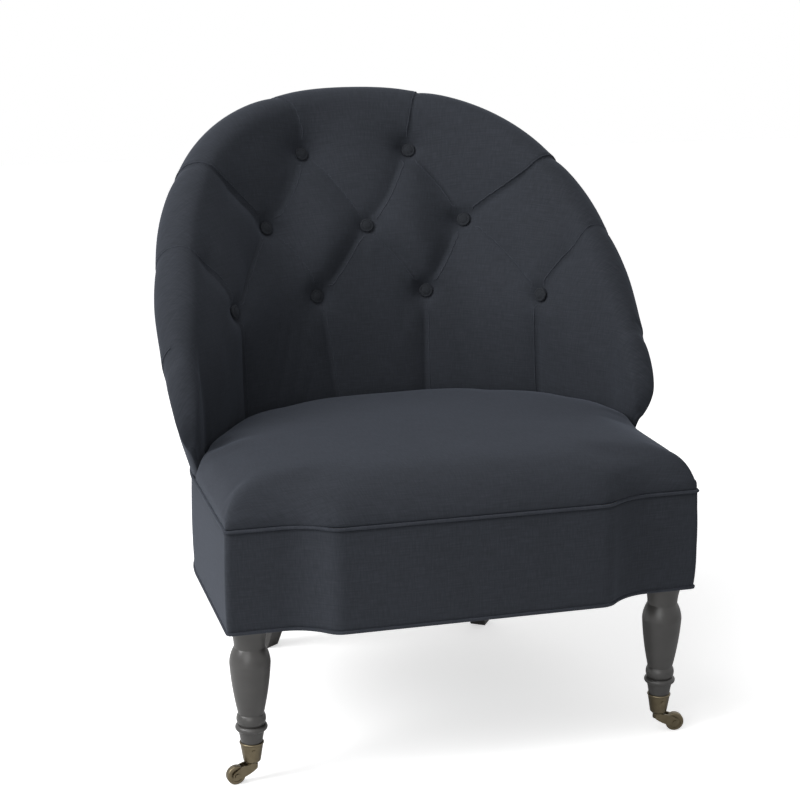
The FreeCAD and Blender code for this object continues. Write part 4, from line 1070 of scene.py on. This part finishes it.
# by the wings' front edges the seat is fuller or lower: x, y from the tub's middle, and how much
WING_MARKS, MARK_REACH = ((318, -12, 4), (-318, -12, 4), (-296, 4, -6)), 20
seat_steps = [(4.0, SEAT_LINE - 2.8)]
seat_steps += [(SEAT_START, SEAT_LINE + rise) for rise in (-2.2, 2.5, SEAT_UPRIGHT)]
for turn in np.radians(np.linspace(8, 70, 9)):
    rise = SEAT_UPRIGHT + SEAT_ROUND * math.sin(turn)
    seat_steps.append((SEAT_START + SEAT_ROUND * (1 - math.cos(turn)), SEAT_LINE + rise))
edge_inset, edge_height = seat_steps[-1]
inner_rings = SEAT_RINGS - len(seat_steps)
seat_centre = np.array([0, FRONT + 225.0])
width = 2 * SEAT_RINGS + 1
seat_grid = np.zeros((width, width, 3))
seat_grid[SEAT_RINGS, SEAT_RINGS] = (*seat_centre, SEAT_TOP)
for k in range(1, SEAT_RINGS + 1):
    out = SEAT_RINGS - k
    if out < len(seat_steps):
        ring = seat_outline(*seat_steps[out], 2 * k)
    else:
        towards = (out - len(seat_steps) + 1) / (inner_rings + 1)
        blend = min(towards * 5, 1)
        outer_line = seat_outline(edge_inset, edge_height, 2 * k)
        inner_line = seat_outline(70, edge_height, 2 * k)
        ring = outer_line * (1 - blend) + inner_line * blend
        pull = 1 - max(towards - CROWN_START, 0) / (1 - CROWN_START)
        ring[:, :2] = seat_centre + (ring[:, :2] - seat_centre) * pull
        ring[:, 2] = edge_height + (SEAT_TOP - edge_height) * (1 - (1 - towards) ** CROWN_POWER)
    turn = np.degrees(np.arctan2(ring[:, 0], ring[:, 1] - TUB_Y))
    behind = ramp(np.hypot(ring[:, 0], ring[:, 1] - TUB_Y), *SINK_REACH) ** SINK_POWER
    behind *= ramp(ring[:, 1], TUB_Y - 60, TUB_Y) * ramp(ring[:, 2], SEAT_LINE, SEAT_LINE + 40)
    ring[:, 2] -= np.interp(turn, SINK_ANGLES, SINK_DEPTHS) * behind
    cells = ring_cells(k) + SEAT_RINGS
    seat_grid[cells[:, 1], cells[:, 0]] = ring
seat_grid = eased(seat_grid, inner_rings + 3, 60)
fuller = np.zeros((width, width))
for middle_x, middle_y, more in WING_MARKS:
    away = (seat_grid[:, :, 0] - middle_x) ** 2 + (seat_grid[:, :, 1] - TUB_Y - middle_y) ** 2
    fuller += more * np.exp(-away / MARK_REACH ** 2)
seat_grid[:, :, 2] += fuller * ramp(seat_grid[:, :, 2], SEAT_LINE + 4, SEAT_LINE + 24)
print("seat grid:", width, "by", width, "points, edge at", round(edge_height), "mm")

# %% [markdown]
# The stuffing swells the seat too, held at the piping, behind under the back and, more
# loosely, round its edge. A flat bottom closes the pad.

# %% Seat
flat_seat = seat_grid.reshape(-1, 3)
fall = (edge_height - np.minimum(flat_seat[:, 2], edge_height)) * 0.8
from_centre = flat_seat[:, :2] - seat_centre
from_centre /= np.maximum(np.abs(from_centre).max(axis=1, keepdims=True), 1e-6)
laid_flat = flat_seat[:, :2] + from_centre * fall[:, None]
seat_pad = cloth_piece("seat_pad", seat_grid, laid_flat[:, 0], laid_flat[:, 1], flip=True)
cell_y, cell_x = np.divmod(np.arange(width * width), width)
ring_of = np.maximum(np.abs(cell_x - SEAT_RINGS), np.abs(cell_y - SEAT_RINGS))
behind = ramp(cell_y, 1.93 * SEAT_RINGS, 1.93 * SEAT_RINGS + 3)
swell(seat_pad, np.maximum(ramp(ring_of, SEAT_RINGS - 4, SEAT_RINGS - 1), behind), 5.0)
swollen = positions(seat_pad.data).reshape(width, width, 3)
place_all(seat_pad.data, eased(swollen, SEAT_RINGS - 4, 5).reshape(-1, 3))
subdivided(seat_pad)
worn_by_chair(seat_pad, "cover_cloth", "seat_cushion", cloth=cover_cloth)

# %% [markdown]
# Underneath, a black cloth keeps the dust in. It is cut round the legs, pulled flat and
# tacked to the rails about every 30 mm.

# %% Dust cover
CELL, COVER_INSET, COVER_Z = 9.0, 8.0, HEM + 2.1
cover_edge = base_ring(HEM, COVER_INSET, 900)[:, :2]
# where each leg stands, and how wide the cover is cut round it
LEGS = [(side * x, y, cut) for x, y, cut in ((288.2, FRONT + 29.4, 29.0), (146.3, TUB_Y + 208.9, 33.0))
        for side in (-1, 1)]


def inside_outline(points, outline):
    """Which points lie inside a closed outline, by counting the edges crossed to one side."""
    x, y = points[:, 0][:, None], points[:, 1][:, None]
    a, b = outline, np.roll(outline, -1, axis=0)
    straddles = (a[:, 1] > y) != (b[:, 1] > y)
    with np.errstate(divide="ignore", invalid="ignore"):
        meets = a[:, 0] + (y - a[:, 1]) * (b[:, 0] - a[:, 0]) / (b[:, 1] - a[:, 1])
    return (straddles & (x < meets)).sum(axis=1) % 2 == 1


def flat(points):
    return np.column_stack([points, np.zeros(len(points))])


columns_x = np.arange(-318, 319, CELL)
rows_y = np.arange(FRONT - 30, TUB_Y + 282, CELL)
cover_points = np.array([(x, y) for y in rows_y for x in columns_x])
kept = inside_outline(cover_points, cover_edge)
turns = np.linspace(0, 2 * np.pi, 90)
cuts = []
for x, y, cut in LEGS:
    kept &= np.hypot(*(cover_points - (x, y)).T) > cut
    cuts.append(np.column_stack([x + cut * np.cos(turns), y + cut * np.sin(turns)]))
rim_points = np.concatenate([cover_edge, *cuts])
rim_points = rim_points[inside_outline(rim_points, base_ring(HEM, COVER_INSET - 0.5, 900)[:, :2])]
cells = np.array(grid_faces(len(rows_y), len(columns_x)))
cells = cells[kept[cells].all(axis=1)]
uses = np.bincount(cells.ravel(), minlength=len(cover_points))
at_rim = (uses > 0) & (uses < 4)
cover_points[at_rim] = rim_points[nearest(flat(cover_points[at_rim]), flat(rim_points))[1]]
used = np.flatnonzero(uses > 0)
renumbered = np.full(len(cover_points), -1)
renumbered[used] = np.arange(len(used))
flat_cover = np.column_stack([cover_points[used], np.full(len(used), COVER_Z)])
dust_sheet = object_from("dust_sheet", flat_cover, renumbered[cells], flat_cover[:, :2])
shell = dust_sheet.modifiers.new("thickness", "SOLIDIFY")
shell.thickness, shell.offset = 0.0008, 0.0
baked(dust_sheet)
dust_cloth = make_plain("black_dust_cloth", "#17171a", "#26262a", 0.95)
worn_by_chair(dust_sheet, "lining_cloth", "dust_cover", cloth=dust_cloth)

# %% [markdown]
# The tacks are blued steel with low domed heads, and leave the places of the legs free.

# %% Tacks
TACK_INSET, TACK_CLEAR, TACK_SUNK = 14.0, 6.0, 0.6
tack_profile = [(0.6, -1.0), (4.2, -0.4), (4.4, 0.0), (3.6, 0.7), (1.6, 1.2), (0.2, 1.3)]
tack_ring = base_ring(HEM, TACK_INSET, 64)
tack_ring[:, 2] = COVER_Z - TACK_SUNK
for x, y, cut in LEGS:
    tack_ring = tack_ring[np.hypot(*(tack_ring[:, :2] - (x, y)).T) > cut + TACK_CLEAR]
tacks = object_from("dust_cover_tacks", tack_ring)
tack_steel = make_plain("blued_tack_steel", "#2a2d33", "#3a3d44", 0.45, 1.0)
tack_unit = turned_mesh("tack_unit", tack_profile, 14)
put_copies(tacks, tack_unit, tack_steel, np.tile([0, 0, -1], len(tack_ring)))
worn_by_chair(tacks, "spring_steel")
print("tacks:", len(tack_ring))

# %% [markdown]
# The legs are turned beech, sprayed a warm grey and rubbed to a satin. Paint fills the
# grain, so the eye sees an even colour with a soft highlight, slightly paler on the beads
# where hands and brooms have rubbed it.

# %% Painted legs


def make_paint():
    made, tree, shader, place = new_material("satin_grey_paint", 0.34)
    edges = add_node(tree, "NewGeometry").outputs["Pointiness"]
    rubbed = add_node(tree, "MapRange", {"Value": edges}, From_Min=0.5, From_Max=0.62, To_Max=0.5)
    sides = {0: noise(tree, place, 45.0, 4.0), 1: rubbed.outputs[0]}
    factor = add_node(tree, "Math", sides, operation="ADD", use_clamp=True)
    colour_by(tree, shader, factor.outputs[0], "#333231", "#424140")
    bump_by(tree, shader, noise(tree, place, 220.0), 0.06, 0.001)
    return made


leg_paint = make_paint()
print("legs painted")

# %% [markdown]
# The castors are cast brass, lacquered and dulled to a brown gold. Aged brass keeps its
# metal shine on what is touched and turns darker in its hollows, so a slow noise mixes a
# bright and a dull tone and drives the roughness too.

# %% Brass, timber, steel and linings


def make_aged_brass():
    made, tree, shader, place = new_material("aged_cast_brass", 0.3, 1.0)
    tarnish = noise(tree, place, 130.0, 5.0, 0.65)
    colour_by(tree, shader, tarnish, "#595142", "#7c725d")
    dull = add_node(tree, "MapRange", {"Value": tarnish}, To_Min=0.42, To_Max=0.24)
    tree.links.new(dull.outputs[0], shader.inputs["Roughness"])
    return made


def make_timber():
    made, tree, shader, place = new_material("sawn_beech", 0.7)
    grain = add_node(tree, "Mapping", {"Vector": place}, Scale=(8, 8, 180))
    colour_by(tree, shader, noise(tree, grain.outputs[0], 3.0, 5.0), "#b08a5c", "#d0ab7c")
    return made


finishes = {
    "leg_paint": leg_paint,
    "aged_brass": make_aged_brass(),
    "frame_timber": make_timber(),
    "spring_steel": make_plain("oiled_spring_steel", "#5a5a5c", "#8a8a8c", 0.4, 1.0),
    "lining_cloth": make_plain("black_bonded_lining", "#17171a", "#232327", 0.95),
    "seat_foam_slab": make_plain("open_cell_foam", "#d8cfae", "#e8e0c4", 0.95),
    "cover_cloth": cover_cloth,
    "piping_cloth": piping_cloth,
}
for row in frame["record"]["subparts"]:
    shell = frame["nodes"][row["node"]]
    shell.data.materials.clear()
    shell.data.materials.append(finishes[row["material_slot"]])

# %% Finish
bpy.context.scene.view_settings.view_transform = "Standard"
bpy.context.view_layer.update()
print("made in", round(time.time() - began), "s")
